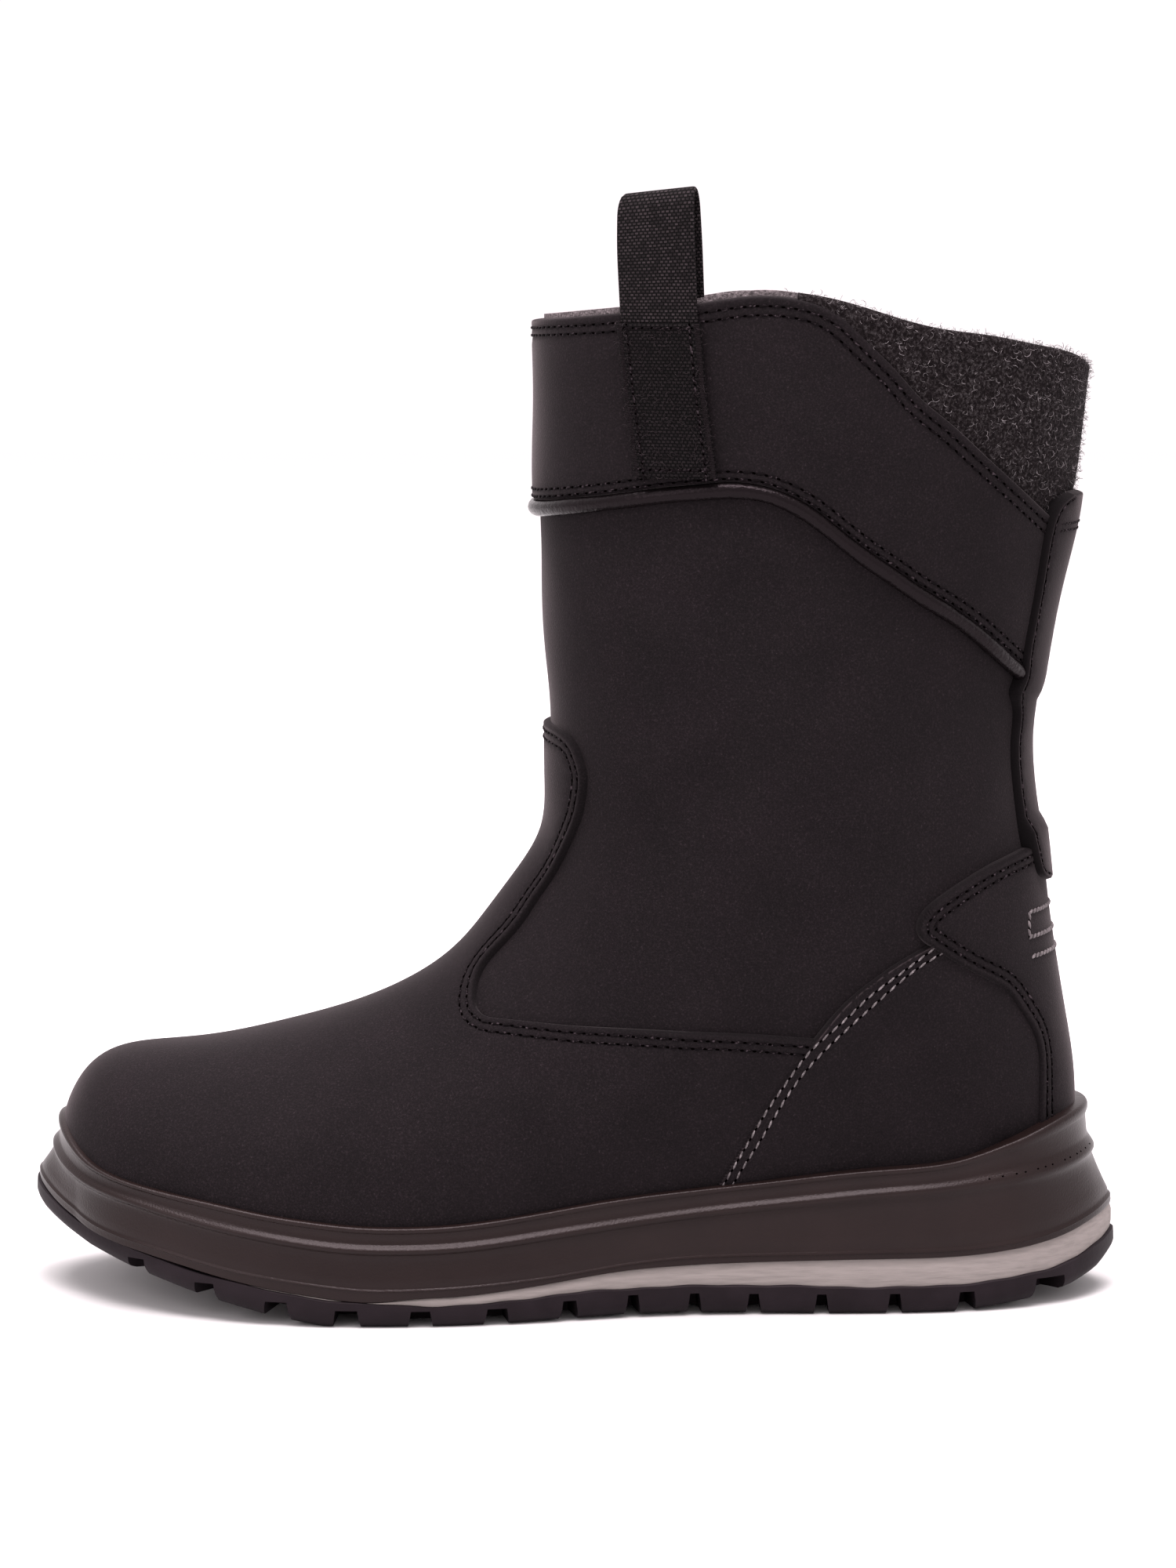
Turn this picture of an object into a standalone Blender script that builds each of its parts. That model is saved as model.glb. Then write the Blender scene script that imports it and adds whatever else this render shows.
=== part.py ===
"""Insulated pull-on winter boot for the left foot: one solid per sub-part.

Frame: metres, toe at -X, heel at +X, outer side of the foot at -Y, +Z up, sole on z = 0.
The upper is a family of sections. Each section lies in a plane that holds the Y direction, so in the side
view it is a straight line from a base point to a top point. Tables are in millimetres.
"""
import math
from functools import lru_cache

import bmesh
import bpy
import numpy as np

MM = 0.001
OBJECT_NAME = "insulated_boot"

# Thickness of the layers, measured outwards from the bare shaft
WALL = 2.6
LAYER_GAP = 0.45
VAMP_GAP = 1.0
CUP_GAP = 1.1
EDGE_GAP = 0.25
RIM_CLEARANCE = 0.7
TOP_CLEARANCE = 0.8
VAMP_OUT = 1.9
FOXING_OUT = 1.9
COUNTER_OUT = 2.6
CUFF_OUT = 1.9
FELT_OUT = 1.9
FELT_IN = -3.8
PIPING_RADIUS = 1.7
STRAP_THICKNESS = 1.3
STRAP_WIDTH = 19.6
INSOLE_THICKNESS = 4.0
INSOLE_CLEARANCE = 1.5
SOLE_GAP = 0.3

# Sections of the last, from the toe to the collar. top and base are side-view points; base_lat and base_med
# are half widths at the base, wide_lat and wide_med the widest half widths, wide_at where along the section
# that is; low_round and top_round are the exponents of the curve below and above it; crown_y is the top's y.
SECTION_COLUMNS = ("name", "top_x", "top_z", "base_x", "base_z", "base_lat", "base_med", "wide_lat", "wide_med",
                   "wide_at", "low_round", "top_round", "crown_y")
SECTIONS = (
    ("toe_edge", -124.5, 25.0, -94.0, 21.5, 33.0, 37.5, 33.2, 37.7, 0.05, 2.0, 2.05, 7.0),
    ("toe_low", -128.8, 32.0, -93.0, 20.8, 34.0, 38.2, 34.2, 38.4, 0.05, 2.0, 2.05, 7.0),
    ("toe_mid", -130.4, 41.0, -91.0, 19.6, 35.0, 39.0, 35.3, 39.3, 0.05, 2.0, 2.1, 7.0),
    ("toe_high", -127.4, 50.4, -88.5, 18.4, 36.0, 39.8, 36.6, 40.3, 0.07, 2.0, 2.1, 7.0),
    ("toe_top", -119.4, 57.8, -85.0, 17.2, 37.3, 40.5, 38.6, 41.8, 0.12, 2.0, 2.15, 6.5),
    ("toe_box", -104.0, 60.5, -79.0, 15.6, 39.0, 41.0, 41.2, 43.4, 0.20, 2.0, 2.2, 5.5),
    ("ball_front", -84.9, 63.2, -69.0, 14.0, 41.0, 41.2, 43.7, 44.4, 0.27, 2.0, 2.15, 4.5),
    ("ball", -63.0, 69.0, -50.0, 13.0, 42.0, 39.6, 45.6, 43.6, 0.30, 2.0, 2.1, 4.0),
    ("instep_low", -42.5, 77.0, -26.0, 14.2, 40.2, 35.2, 44.6, 40.2, 0.30, 1.9, 2.0, 3.5),
    ("instep", -27.5, 88.3, -3.0, 16.8, 36.2, 30.0, 42.2, 37.6, 0.33, 1.6, 1.95, 3.0),
    ("instep_high", -16.5, 102.6, 20.0, 19.2, 31.6, 27.2, 40.6, 38.0, 0.38, 1.3, 1.95, 2.3),
    ("throat", -7.6, 117.0, 46.0, 21.0, 28.8, 26.4, 40.6, 39.6, 0.45, 1.1, 2.0, 1.6),
    ("heel_front", -5.8, 132.0, 74.0, 22.3, 27.2, 26.8, 41.6, 41.2, 0.52, 1.05, 2.15, 1.2),
    ("heel_seat", -6.3, 148.0, 98.0, 23.0, 25.4, 25.2, 42.6, 42.4, 0.57, 1.2, 2.25, 0.8),
    ("heel_round", -7.3, 162.0, 115.0, 23.6, 18.4, 18.2, 43.4, 43.4, 0.62, 1.5, 2.3, 0.6),
    ("heel_edge", -8.0, 173.5, 121.8, 25.4, 10.0, 10.0, 44.1, 44.3, 0.65, 1.8, 2.35, 0.5),
    ("heel_back", -8.4, 183.5, 124.8, 32.0, 0.0, 0.0, 44.8, 45.2, 0.66, 2.0, 2.4, 0.4),
    ("ankle_low", -8.6, 193.0, 125.5, 56.0, 0.0, 0.0, 45.6, 46.2, 0.64, 2.0, 2.4, 0.3),
    ("ankle", -8.7, 202.0, 120.6, 86.0, 0.0, 0.0, 46.8, 47.4, 0.61, 1.94, 2.4, 0.2),
    ("ankle_high", -8.7, 211.0, 116.8, 114.0, 0.0, 0.0, 48.0, 48.8, 0.59, 1.87, 2.4, 0.1),
    ("shaft_low", -8.7, 220.0, 114.0, 140.0, 0.0, 0.0, 49.4, 50.4, 0.57, 1.84, 2.4, 0.0),
    ("shaft_mid", -8.7, 229.5, 116.4, 167.0, 0.0, 0.0, 50.9, 52.0, 0.55, 1.87, 2.4, 0.0),
    ("shaft_high", -8.7, 239.0, 121.6, 191.0, 0.0, 0.0, 52.5, 53.8, 0.53, 1.93, 2.4, 0.0),
    ("collar_low", -8.7, 249.0, 125.4, 214.0, 0.0, 0.0, 54.1, 55.6, 0.52, 1.98, 2.4, 0.0),
    ("collar", -8.8, 264.0, 128.6, 245.0, 0.0, 0.0, 55.8, 57.4, 0.51, 2.0, 2.4, 0.0),
)
LAST_SECTION = len(SECTIONS) - 1
CLOSED_FROM = [row[0] for row in SECTIONS].index("heel_back")

# Side-view lines, x and z
CUFF_TOP = ((-14, 247.4), (-10, 247.7), (11, 249.4), (29.8, 251.7), (43.1, 253.5), (51.2, 253.2), (58.6, 251.5),
            (64.6, 248.1), (70.1, 243.0), (77.0, 236.2), (83.7, 228.9), (90.6, 223.2), (97.4, 217.2),
            (104.2, 211.1), (111.1, 204.9), (118.0, 198.8), (130, 188.0))
PIPING_LINE = ((-14, 203.3), (-10, 203.6), (11, 205.3), (30.8, 207.2), (40.7, 208.0), (50.2, 207.6), (55.5, 204.6),
               (63.7, 197.7), (70.6, 192.2), (77.5, 187.4), (84.2, 182.7), (91.1, 178.3), (98.1, 173.1),
               (104.8, 167.0), (108.7, 163.5), (113.0, 159.5), (130, 144.0))
UPPER_TOP = CUFF_TOP[:15] + ((113.5, 204.6), (131, 204.6))
FELT_TOP = ((44, 254.8), (52.1, 254.1), (62.4, 252.6), (74.0, 249.8), (87.0, 246.7), (102.7, 244.3), (114.9, 241.6),
            (123.1, 239.3), (129.8, 236.2), (134, 234.0))
VAMP_TAB = ((-12, 149.4), (-7.0, 149.3), (-5.1, 148.9), (-1.2, 146.1), (1.5, 142.2), (3.2, 137.7), (3.2, 131.9),
            (1.3, 123.6), (-2.6, 116.6), (-8.4, 106.9), (-16.1, 96.6), (-21.1, 89.5), (-23.7, 84.8), (-24.6, 81.1))
VAMP_STRIP = ((-24.6, 81.1), (-23.7, 77.8), (-20.6, 75.4), (-11.5, 74.8), (7.7, 73.9), (32.4, 72.9), (39.4, 72.5),
              (58.8, 70.9), (64, 70.4))
FOXING_EDGE = ((31, 25), (35.2, 33.3), (41.2, 43.4), (46.3, 51.9), (51.7, 60.0), (59.0, 70.1), (67.0, 79.7),
               (74.3, 86.0), (81.6, 90.9), (87.1, 93.7), (93, 96.5))
COUNTER_EDGE = ((116.2, 30.0), (116.1, 47.0), (116.1, 58.5), (115.5, 64.8), (113.8, 70.0), (110.6, 75.5),
                (106.9, 80.7), (100.6, 85.0), (91.8, 90.7), (87.4, 93.9), (84.9, 96.4), (84.5, 99.6), (85.8, 102.2),
                (89.9, 105.9), (96.1, 110.0), (102.2, 113.4), (110.8, 116.9), (120.0, 119.6))
STAY_COLUMNS = ("z", "edge_x", "inner", "outer")
STAY = (
    (105.6, 117.4, 3.1, 4.4), (107.5, 115.0, 3.1, 4.4), (112.4, 113.2, 3.1, 4.3), (119.0, 111.8, 3.1, 4.1),
    (123.0, 111.2, 0.5, 2.2), (129.3, 110.4, 0.5, 2.1), (143.6, 109.5, 0.5, 2.1), (152.1, 109.4, 0.5, 2.3),
    (154.9, 110.2, 0.5, 3.4), (158.0, 112.2, 0.5, 3.7), (163.5, 113.0, 0.5, 3.7), (171.8, 113.9, 0.5, 3.7),
    (185.8, 116.3, 0.5, 3.7), (196.3, 118.1, 0.5, 3.7), (201.2, 119.8, 0.5, 3.7), (204.2, 122.0, 0.5, 3.5),
)
RIM_LINE = ((-134, 48.0), (-131, 45.4), (-128.5, 42.9), (-125, 39.7), (-121, 36.8), (-115, 34.4), (-108, 32.8),
            (-98.5, 31.2), (-87, 29.4), (-76, 27.6), (-64, 26.1), (-55, 25.2), (-44, 24.8), (-31, 25.1), (-18, 26.4),
            (-5, 28.2), (8, 30.0), (21, 31.4), (36, 32.8), (54, 34.6), (76, 36.8), (92, 38.0), (99, 39.3),
            (106, 41.8), (114, 45.2), (120, 47.6), (125, 48.9), (131, 49.2))

# The sole's widest outline in plan, and its lines by x along that outline
OUTLINE_LAT = ((139.0, 0.0), (137.6, -5.5), (134.0, -12.5), (127.0, -20.5), (117.0, -27.3), (105.0, -31.8),
               (91.0, -34.6), (72.0, -36.0), (53.0, -36.3), (33.0, -37.2), (13.0, -40.2), (-6.0, -45.0),
               (-25.0, -48.8), (-45.0, -50.5), (-64.4, -49.7), (-77.0, -47.5), (-89.5, -43.6), (-100.0, -38.8),
               (-111.7, -31.4), (-121.0, -23.4), (-128.5, -15.2), (-134.5, -6.8), (-138.3, 1.4))
OUTLINE_MED = ((-139.6, 10.0), (-138.2, 18.0), (-134.0, 26.0), (-128.0, 32.4), (-120.0, 38.2), (-110.0, 43.0),
               (-98.0, 46.6), (-85.0, 48.6), (-70.0, 49.2), (-55.0, 48.6), (-40.0, 46.4), (-22.0, 42.0),
               (-5.0, 37.6), (13.0, 34.6), (30.0, 33.4), (50.0, 33.8), (72.0, 34.8), (91.0, 34.0), (105.0, 31.4),
               (117.0, 27.0), (127.0, 20.3), (134.0, 12.4), (137.6, 5.5))
SOLE_COLUMNS = ("x", "ground", "outsole_top", "midsole_bottom", "low_line", "rib", "rim_width")
SOLE_LINES = (
    (-139.6, 19.5, 27.0, 27.3, 29.4, 37.4, 2.6), (-137.0, 16.4, 25.4, 25.7, 27.8, 36.2, 2.6),
    (-131.0, 13.2, 22.2, 22.5, 24.8, 34.2, 2.7), (-124.0, 11.2, 19.4, 19.7, 21.9, 32.2, 2.8),
    (-113.0, 8.3, 16.6, 16.9, 19.0, 29.8, 2.9), (-104.0, 6.0, 14.6, 14.9, 17.1, 28.0, 3.0),
    (-90.0, 2.9, 11.5, 11.8, 14.1, 25.2, 3.1), (-76.0, 1.0, 8.9, 9.2, 11.9, 23.0, 3.2),
    (-62.0, 0.0, 7.0, 7.3, 10.2, 21.2, 3.2), (-50.0, 0.0, 6.0, 6.3, 9.2, 20.5, 3.2),
    (-43.0, 0.0, 5.7, 6.9, 9.2, 20.4, 3.2), (-30.0, 0.0, 5.4, 7.5, 9.6, 20.7, 3.2),
    (-16.0, 0.2, 6.0, 8.7, 10.5, 21.6, 3.3), (-3.0, 0.6, 7.0, 10.3, 11.7, 22.8, 3.4),
    (10.0, 0.8, 7.6, 11.9, 13.3, 24.2, 3.5), (24.0, 0.8, 7.8, 12.8, 14.6, 26.0, 3.6),
    (42.0, 0.4, 7.6, 13.4, 15.2, 28.4, 3.8), (60.0, 0.0, 7.2, 13.9, 15.5, 30.6, 4.0),
    (78.0, 0.0, 7.0, 14.3, 15.9, 32.4, 4.2), (96.0, 0.0, 7.4, 14.8, 16.5, 33.6, 4.4),
    (105.0, 0.8, 8.2, 15.9, 17.4, 34.6, 4.6), (117.0, 2.2, 9.4, 18.2, 19.6, 35.6, 4.8),
    (127.0, 4.0, 11.4, 20.8, 22.2, 36.6, 4.9), (134.0, 6.3, 13.6, 22.6, 24.2, 37.4, 5.0),
    (139.0, 9.4, 15.4, 23.4, 25.6, 37.8, 5.0),
)
WEDGE_FRONT_X = -43.0
# Side profile of the midsole: height as a blend between two named lines, place from the rim (0) to the widest
# outline (1), and how far it stands out beyond that
PROFILE_COLUMNS = ("from_line", "to_line", "blend", "flare", "proud")
MIDSOLE_PROFILE = (
    ("midsole_bottom", "low_line", 0.0, 0.86, 0.0), ("midsole_bottom", "low_line", 0.85, 0.88, 0.0),
    ("low_line", "rib", 0.06, 0.80, 0.0), ("low_line", "rib", 0.84, 0.22, -0.3), ("low_line", "rib", 0.9, 0.2, 0.7),
    ("low_line", "rib", 1.0, 0.12, 0.7),
    ("rib", "rim", 0.15, 0.08, 0.0), ("rib", "rim", 0.75, 0.0, 0.0), ("rib", "rim", 1.0, 0.0, -0.5),
)
CUP_LEVELS = (1.0, 0.55, 0.2, 0.0)

# Lugs: gaps along both edges, by x on the outline and width; depth of the gap above the ground line
GAP_COLUMNS = ("x", "width", "depth")
LUG_GAPS = (
    (-110.0, 5.6, 4.2), (-92.0, 5.5, 4.0), (-74.0, 6.2, 4.0), (-56.0, 6.4, 3.9), (-38.0, 5.6, 3.7), (-19.0, 5.8, 3.7),
    (-1.0, 4.2, 4.3), (15.0, 3.4, 4.7), (30.0, 3.2, 4.7), (45.0, 3.2, 4.7), (62.0, 3.2, 4.8), (80.0, 3.4, 4.8),
    (98.5, 4.6, 4.6), (118.0, 6.0, 4.6),
)
GAP_REACH = 11.0
TREAD_BARS = (-84, -66, -48, -30, 48, 64, 80)
TREAD_BAR_SIZE = (4.0, 34.0, 3.0)

# The pull loop's path: distance out from the shaft's wall and height
LOOP_PATH = ((2.25, 209.6), (2.25, 222.0), (2.25, 236.0), (2.25, 248.0), (2.3, 256.0), (2.2, 266.0), (1.6, 273.0),
             (0.4, 277.2), (-1.0, 278.4), (-2.4, 277.2), (-3.5, 273.0), (-4.0, 266.0), (-4.0, 256.0), (-4.0, 247.0),
             (-4.0, 236.0), (-4.0, 224.0))
LOOP_CENTRE = ((205, 23.6), (212, 23.3), (230, 21.4), (249, 20.0), (279, 19.5))

MATERIALS = {
    "outsole": ("black rubber", (0.02, 0.019, 0.02), 0.7),
    "wedge": ("grey foam", (0.55, 0.53, 0.51), 0.8),
    "midsole": ("brown moulded foam", (0.075, 0.06, 0.056), 0.6),
    "insole": ("felt footbed", (0.1, 0.1, 0.1), 0.95),
    "upper": ("black nubuck", (0.02, 0.019, 0.021), 0.85),
    "vamp": ("black nubuck vamp", (0.022, 0.02, 0.022), 0.85),
    "foxing_outer": ("black nubuck foxing", (0.024, 0.022, 0.024), 0.85),
    "foxing_inner": ("black nubuck foxing", (0.024, 0.022, 0.024), 0.85),
    "heel_counter": ("black nubuck counter", (0.026, 0.024, 0.026), 0.85),
    "back_stay": ("black nubuck stay", (0.02, 0.018, 0.02), 0.85),
    "cuff": ("black nubuck cuff", (0.021, 0.02, 0.021), 0.85),
    "cuff_piping": ("padded black piping", (0.03, 0.028, 0.03), 0.6),
    "felt_collar": ("grey felt", (0.1, 0.1, 0.105), 0.98),
    "pull_loop": ("black webbing", (0.03, 0.028, 0.03), 0.9),
}


class Spline:
    """Natural cubic spline through knots; values may be a vector per knot."""

    def __init__(self, knots, values):
        self.x = np.asarray(knots, float)
        self.y = np.asarray(values, float)
        step = np.diff(self.x)
        count = len(self.x)
        matrix = np.eye(count)
        right = np.zeros_like(self.y)
        for i in range(1, count - 1):
            matrix[i, i - 1:i + 2] = step[i - 1], 2 * (step[i - 1] + step[i]), step[i]
            right[i] = 6 * ((self.y[i + 1] - self.y[i]) / step[i] - (self.y[i] - self.y[i - 1]) / step[i - 1])
        self.bend = np.linalg.solve(matrix, right)

    def __call__(self, at):
        i = int(np.clip(np.searchsorted(self.x, at) - 1, 0, len(self.x) - 2))
        step = self.x[i + 1] - self.x[i]
        a = (self.x[i + 1] - at) / step
        b = (at - self.x[i]) / step
        return (a * self.y[i] + b * self.y[i + 1]
                + ((a ** 3 - a) * self.bend[i] + (b ** 3 - b) * self.bend[i + 1]) * step * step / 6)


def column(rows, names, name):
    """One named column of a table."""
    return [row[names.index(name)] for row in rows]


def smooth_line(points, count=240):
    """Dense smooth polyline through side-view points, by distance along them."""
    points = np.asarray(points, float)
    along = np.concatenate(([0], np.cumsum(np.linalg.norm(np.diff(points, axis=0), axis=1))))
    curve = Spline(along, points)
    return np.array([curve(v) for v in np.linspace(0, along[-1], count)])


def height_on(line, x):
    """z of a side-view line at x."""
    return float(np.interp(x, line[:, 0], line[:, 1]))


NUMBERS = np.array([row[1:] for row in SECTIONS])
NUMBERS[:, 4:6] **= 2
LAST = Spline(range(len(SECTIONS)), NUMBERS)


@lru_cache(maxsize=20000)
def section(s):
    """Section number s (may lie between rows): base, top, and for both sides the arc share, height and half width."""
    row = LAST(s)
    top, base = row[0:2], row[2:4]
    base_widths = np.sqrt(np.maximum(row[4:6], 0))
    if s >= CLOSED_FROM:
        base_widths[:] = 0
    wide_at, low, high, crown = row[8:12]
    length = float(np.linalg.norm(top - base))
    wide_at = max(wide_at, 0.02) * length
    turn = np.linspace(0, math.pi / 2, 81)
    height = np.concatenate((wide_at * (1 - np.cos(turn)),
                             wide_at + (length - wide_at) * np.sin(turn[1:]) ** (2 / high)))
    sides = []
    for sign, start, wide in ((-1, base_widths[0], row[6]), (1, base_widths[1], row[7])):
        lean = np.cos(turn) ** low
        lower = (wide ** low * (1 - lean) + start ** low * lean) ** (1 / low)
        upper = wide * np.maximum(np.cos(turn[1:]), 0) ** (2 / high)
        y = sign * np.concatenate((lower, upper)) + crown * (height / length) ** 2
        arc = np.concatenate(([0], np.cumsum(np.hypot(np.diff(height), np.diff(y)))))
        sides.append((arc / arc[-1], y, arc[-1]))
    return base, top, length, height, sides


def bare_point(s, a, side):
    """Point of the bare surface on section s at arc share a (0 base, 1 crown); side 0 is outer, 1 is inner."""
    base, top, length, height, sides = section(round(min(max(s, 0), LAST_SECTION), 6))
    share, y, _ = sides[side]
    h = np.interp(a, share, height) / length
    x, z = base + (top - base) * h
    return np.array((x, np.interp(a, share, y), z))


def outward(s, a, side):
    """Unit normal of the bare surface."""
    ds, da = 0.02, 0.004
    s0, s1 = max(s - ds, 0), min(s + ds, LAST_SECTION)
    along = bare_point(s1, a, side) - bare_point(s0, a, side)
    a0, a1 = max(a - da, 0), a + da
    start = bare_point(s, a0, side)
    if a1 > 1:
        end = bare_point(s, 2 - a1, 1 - side)
    else:
        end = bare_point(s, a1, side)
    if a - da < 0 and s >= CLOSED_FROM:
        start = bare_point(s, da - a, 1 - side)
    normal = np.cross(along, end - start)
    normal /= np.linalg.norm(normal)
    return normal if side == 0 else -normal


def lifted(s, a, side, offset):
    """Point at a distance out from the bare surface."""
    return bare_point(s, a, side) + outward(s, a, side) * offset


def share_at(s, side, h):
    """Arc share of the point at height share h of section s."""
    _, _, length, height, sides = section(round(s, 6))
    return float(np.interp(h * length, height, sides[side][0]))


def crossings(s, line):
    """Height shares at which section s crosses a side-view polyline."""
    base, top = section(round(s, 6))[:2]
    ray = top - base
    start = line[:-1] - base
    step = np.diff(line, axis=0)
    det = ray[0] * -step[:, 1] + ray[1] * step[:, 0]
    with np.errstate(divide="ignore", invalid="ignore"):
        h = (start[:, 0] * -step[:, 1] + start[:, 1] * step[:, 0]) / det
        k = (ray[0] * start[:, 1] - ray[1] * start[:, 0]) / det
    hit = (np.abs(det) > 1e-9) & (k >= 0) & (k < 1) & (h >= 0) & (h <= 1)
    return sorted(h[hit])


def locate(x, z):
    """Section number and height share of a side-view point."""
    def side_of(base, top):
        return (top[..., 0] - base[..., 0]) * (z - base[..., 1]) - (top[..., 1] - base[..., 1]) * (x - base[..., 0])

    sides = side_of(GRID_BASE, GRID_TOP)
    best = (9.0, 0.0, 0.0)
    for i in np.nonzero(sides[:-1] * sides[1:] <= 0)[0]:
        low, high = GRID_S[i], GRID_S[i + 1]
        for _ in range(26):
            mid = (low + high) / 2
            if side_of(*section(round(mid, 6))[:2]) * sides[i] > 0:
                low = mid
            else:
                high = mid
        base, top, length = section(round(low, 6))[:3]
        h = float(np.dot(np.array((x, z)) - base, top - base) / length ** 2)
        miss = max(-h, h - 1, 0)
        if miss < best[0]:
            best = (miss, low, h)
    return best[1], min(max(best[2], 0), 1)


GRID_S = np.linspace(0, LAST_SECTION, 8 * LAST_SECTION + 1)
GRID_BASE = np.array([section(round(s, 6))[0] for s in GRID_S])
GRID_TOP = np.array([section(round(s, 6))[1] for s in GRID_S])


def solve_s(a, side, line, low, high):
    """Section number at which the column at arc share a crosses a side-view line."""
    for _ in range(32):
        mid = (low + high) / 2
        x, _, z = bare_point(mid, a, side)
        if z < height_on(line, x):
            low = mid
        else:
            high = mid
    return (low + high) / 2


class Shell:
    """A patch of the surface, thickened between an inner and an outer offset into one closed solid."""

    def __init__(self):
        self.keys = {}
        self.outer = []
        self.inner = []
        self.faces = []

    def vertex(self, outer, inner):
        key = tuple(np.round(outer, 2))
        if key not in self.keys:
            self.keys[key] = len(self.outer)
            self.outer.append(outer)
            self.inner.append(inner)
        return self.keys[key]

    def grid(self, rows):
        """Faces between rows of vertex numbers; the normal side is set later."""
        for upper, lower in zip(rows[1:], rows[:-1]):
            for j in range(len(lower) - 1):
                face = []
                for v in (lower[j], lower[j + 1], upper[j + 1], upper[j]):
                    if v not in face:
                        face.append(v)
                if len(face) > 2:
                    self.faces.append(face)

    def build(self, name):
        edges = {}
        for face in self.faces:
            for a, b in zip(face, face[1:] + face[:1]):
                edges[(a, b)] = edges.get((a, b), 0) + 1
        count = len(self.outer)
        faces = [list(f) for f in self.faces]
        faces += [[v + count for v in reversed(f)] for f in self.faces]
        faces += [[b, a, a + count, b + count] for (a, b) in edges if (b, a) not in edges]
        return make_object(name, self.outer + self.inner, faces)


def make_object(name, points, faces):
    """Mesh object from points in millimetres, all faces turned outwards, with its own material."""
    mesh = bpy.data.meshes.new(name)
    mesh.from_pydata([tuple(float(v) * MM for v in p) for p in points], [], faces)
    work = bmesh.new()
    work.from_mesh(mesh)
    bmesh.ops.triangulate(work, faces=work.faces)
    bmesh.ops.recalc_face_normals(work, faces=work.faces)
    if work.calc_volume(signed=True) < 0:
        bmesh.ops.reverse_faces(work, faces=work.faces)
    work.to_mesh(mesh)
    work.free()
    part = bpy.data.objects.new(name, mesh)
    if name in MATERIALS:
        label, colour, roughness = MATERIALS[name]
        material = bpy.data.materials.new(label)
        material.use_nodes = True
        shader = material.node_tree.nodes["Principled BSDF"]
        shader.inputs["Base Color"].default_value = (*colour, 1)
        shader.inputs["Roughness"].default_value = roughness
        mesh.materials.append(material)
    return part


def graded(count):
    """Shares from 0 to 1, closer together at both ends."""
    even = np.linspace(0, 1, count + 1)
    return 0.45 * even + 0.55 * (1 - np.cos(math.pi * even)) / 2


LINES = {name: smooth_line(points) for name, points in (
    ("cuff_top", CUFF_TOP), ("piping", PIPING_LINE), ("felt_top", FELT_TOP), ("vamp_tab", VAMP_TAB),
    ("foxing", FOXING_EDGE), ("counter", COUNTER_EDGE), ("rim", RIM_LINE))}
LINES["upper_top"] = np.array(UPPER_TOP, float)
LINES["vamp_strip"] = np.array(VAMP_STRIP, float)
NOTCH = locate(-25.0, 81.1)

UPPER_COLUMNS = graded(13)
TOE_ROWS = (2.62, 2.95, 3.4, 3.95, 4.7, 5.6, 6.5, 7.4, 8.2, 8.8)
SIDE_ROWS = (9.55, 9.95, 10.5, 11.1, 11.7, 12.3)
HEEL_ROWS = (13.0, 13.9, 14.7, 15.4, CLOSED_FROM)
UPPER_TOP_ROWS = 10


def add_upper():
    """The hollow leather form, open underneath and at the collar."""
    shell = Shell()
    columns = [(0, a) for a in UPPER_COLUMNS] + [(1, a) for a in UPPER_COLUMNS[-2::-1]]
    tops = [solve_s(a, side, LINES["upper_top"], CLOSED_FROM, LAST_SECTION) for side, a in columns]
    low_rows = (0, 1.8) + TOE_ROWS + (NOTCH[0],) + SIDE_ROWS + HEEL_ROWS
    rows = [[s] * len(columns) for s in low_rows]
    rows += [[CLOSED_FROM + (top - CLOSED_FROM) * k / UPPER_TOP_ROWS for top in tops]
             for k in range(1, UPPER_TOP_ROWS + 1)]
    shell.grid([[shell.vertex(bare_point(s, a, side), lifted(s, a, side, -WALL))
                 for s, (side, a) in zip(row, columns)] for row in rows])
    return shell.build("upper")


def panel_row(shell, s, side, start, end, count):
    """Vertices of one row of the vamp, from height share start to end on section s."""
    a0, a1 = share_at(s, side, start), share_at(s, side, end)
    return [shell.vertex(lifted(s, a, side, VAMP_OUT), lifted(s, a, side, VAMP_GAP))
            for a in np.linspace(a0, a1, count + 1)]


def apron_rows(shell, s, side, shares):
    """Rows of the toe below section s, from the rim line up to that section."""
    start_x, _, start_z = bare_point(s, share_at(s, side, rim_start(s)), side)
    start_rise = start_z - height_on(LINES["rim"], start_x)
    end_x = bare_point(s, 1, side)[0]
    tip_x = tip_of(RIM_CLEARANCE)
    rows = []
    for lift in (0.0, 0.5):
        row = []
        for a in shares:
            x, _, z = bare_point(s, a, side)
            along = (x - start_x) / (end_x - start_x)
            low_x = start_x + (tip_x - start_x) * along
            low_z = height_on(LINES["rim"], low_x) + start_rise + (RIM_CLEARANCE - start_rise) * along
            row_s, h = locate(low_x + (x - low_x) * lift, low_z + (z - low_z) * lift)
            row_a = 1 if a == 1 else share_at(row_s, side, h)
            if along < 1e-4:
                row_s, row_a = s, a
            row.append(shell.vertex(lifted(row_s, row_a, side, VAMP_OUT), lifted(row_s, row_a, side, VAMP_GAP)))
        rows.append(row)
    return rows


def tip_of(rise):
    """x at which the rim line, raised, meets the front of the toe."""
    low, high = -140.0, -110.0
    for _ in range(30):
        mid = (low + high) / 2
        if front_share(mid, height_on(LINES["rim"], mid) + rise) > 1:
            low = mid
        else:
            high = mid
    return high


def front_share(x, z):
    """Height share of a side-view point on its section, over 1 in front of the silhouette."""
    s, _ = locate(x, z)
    base, top, length = section(round(s, 6))[:3]
    return float(np.dot(np.array((x, z)) - base, top - base) / length ** 2)


def inset(s, gap):
    """A distance along section s in millimetres as a share of its length."""
    return gap / section(round(s, 6))[2]


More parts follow.
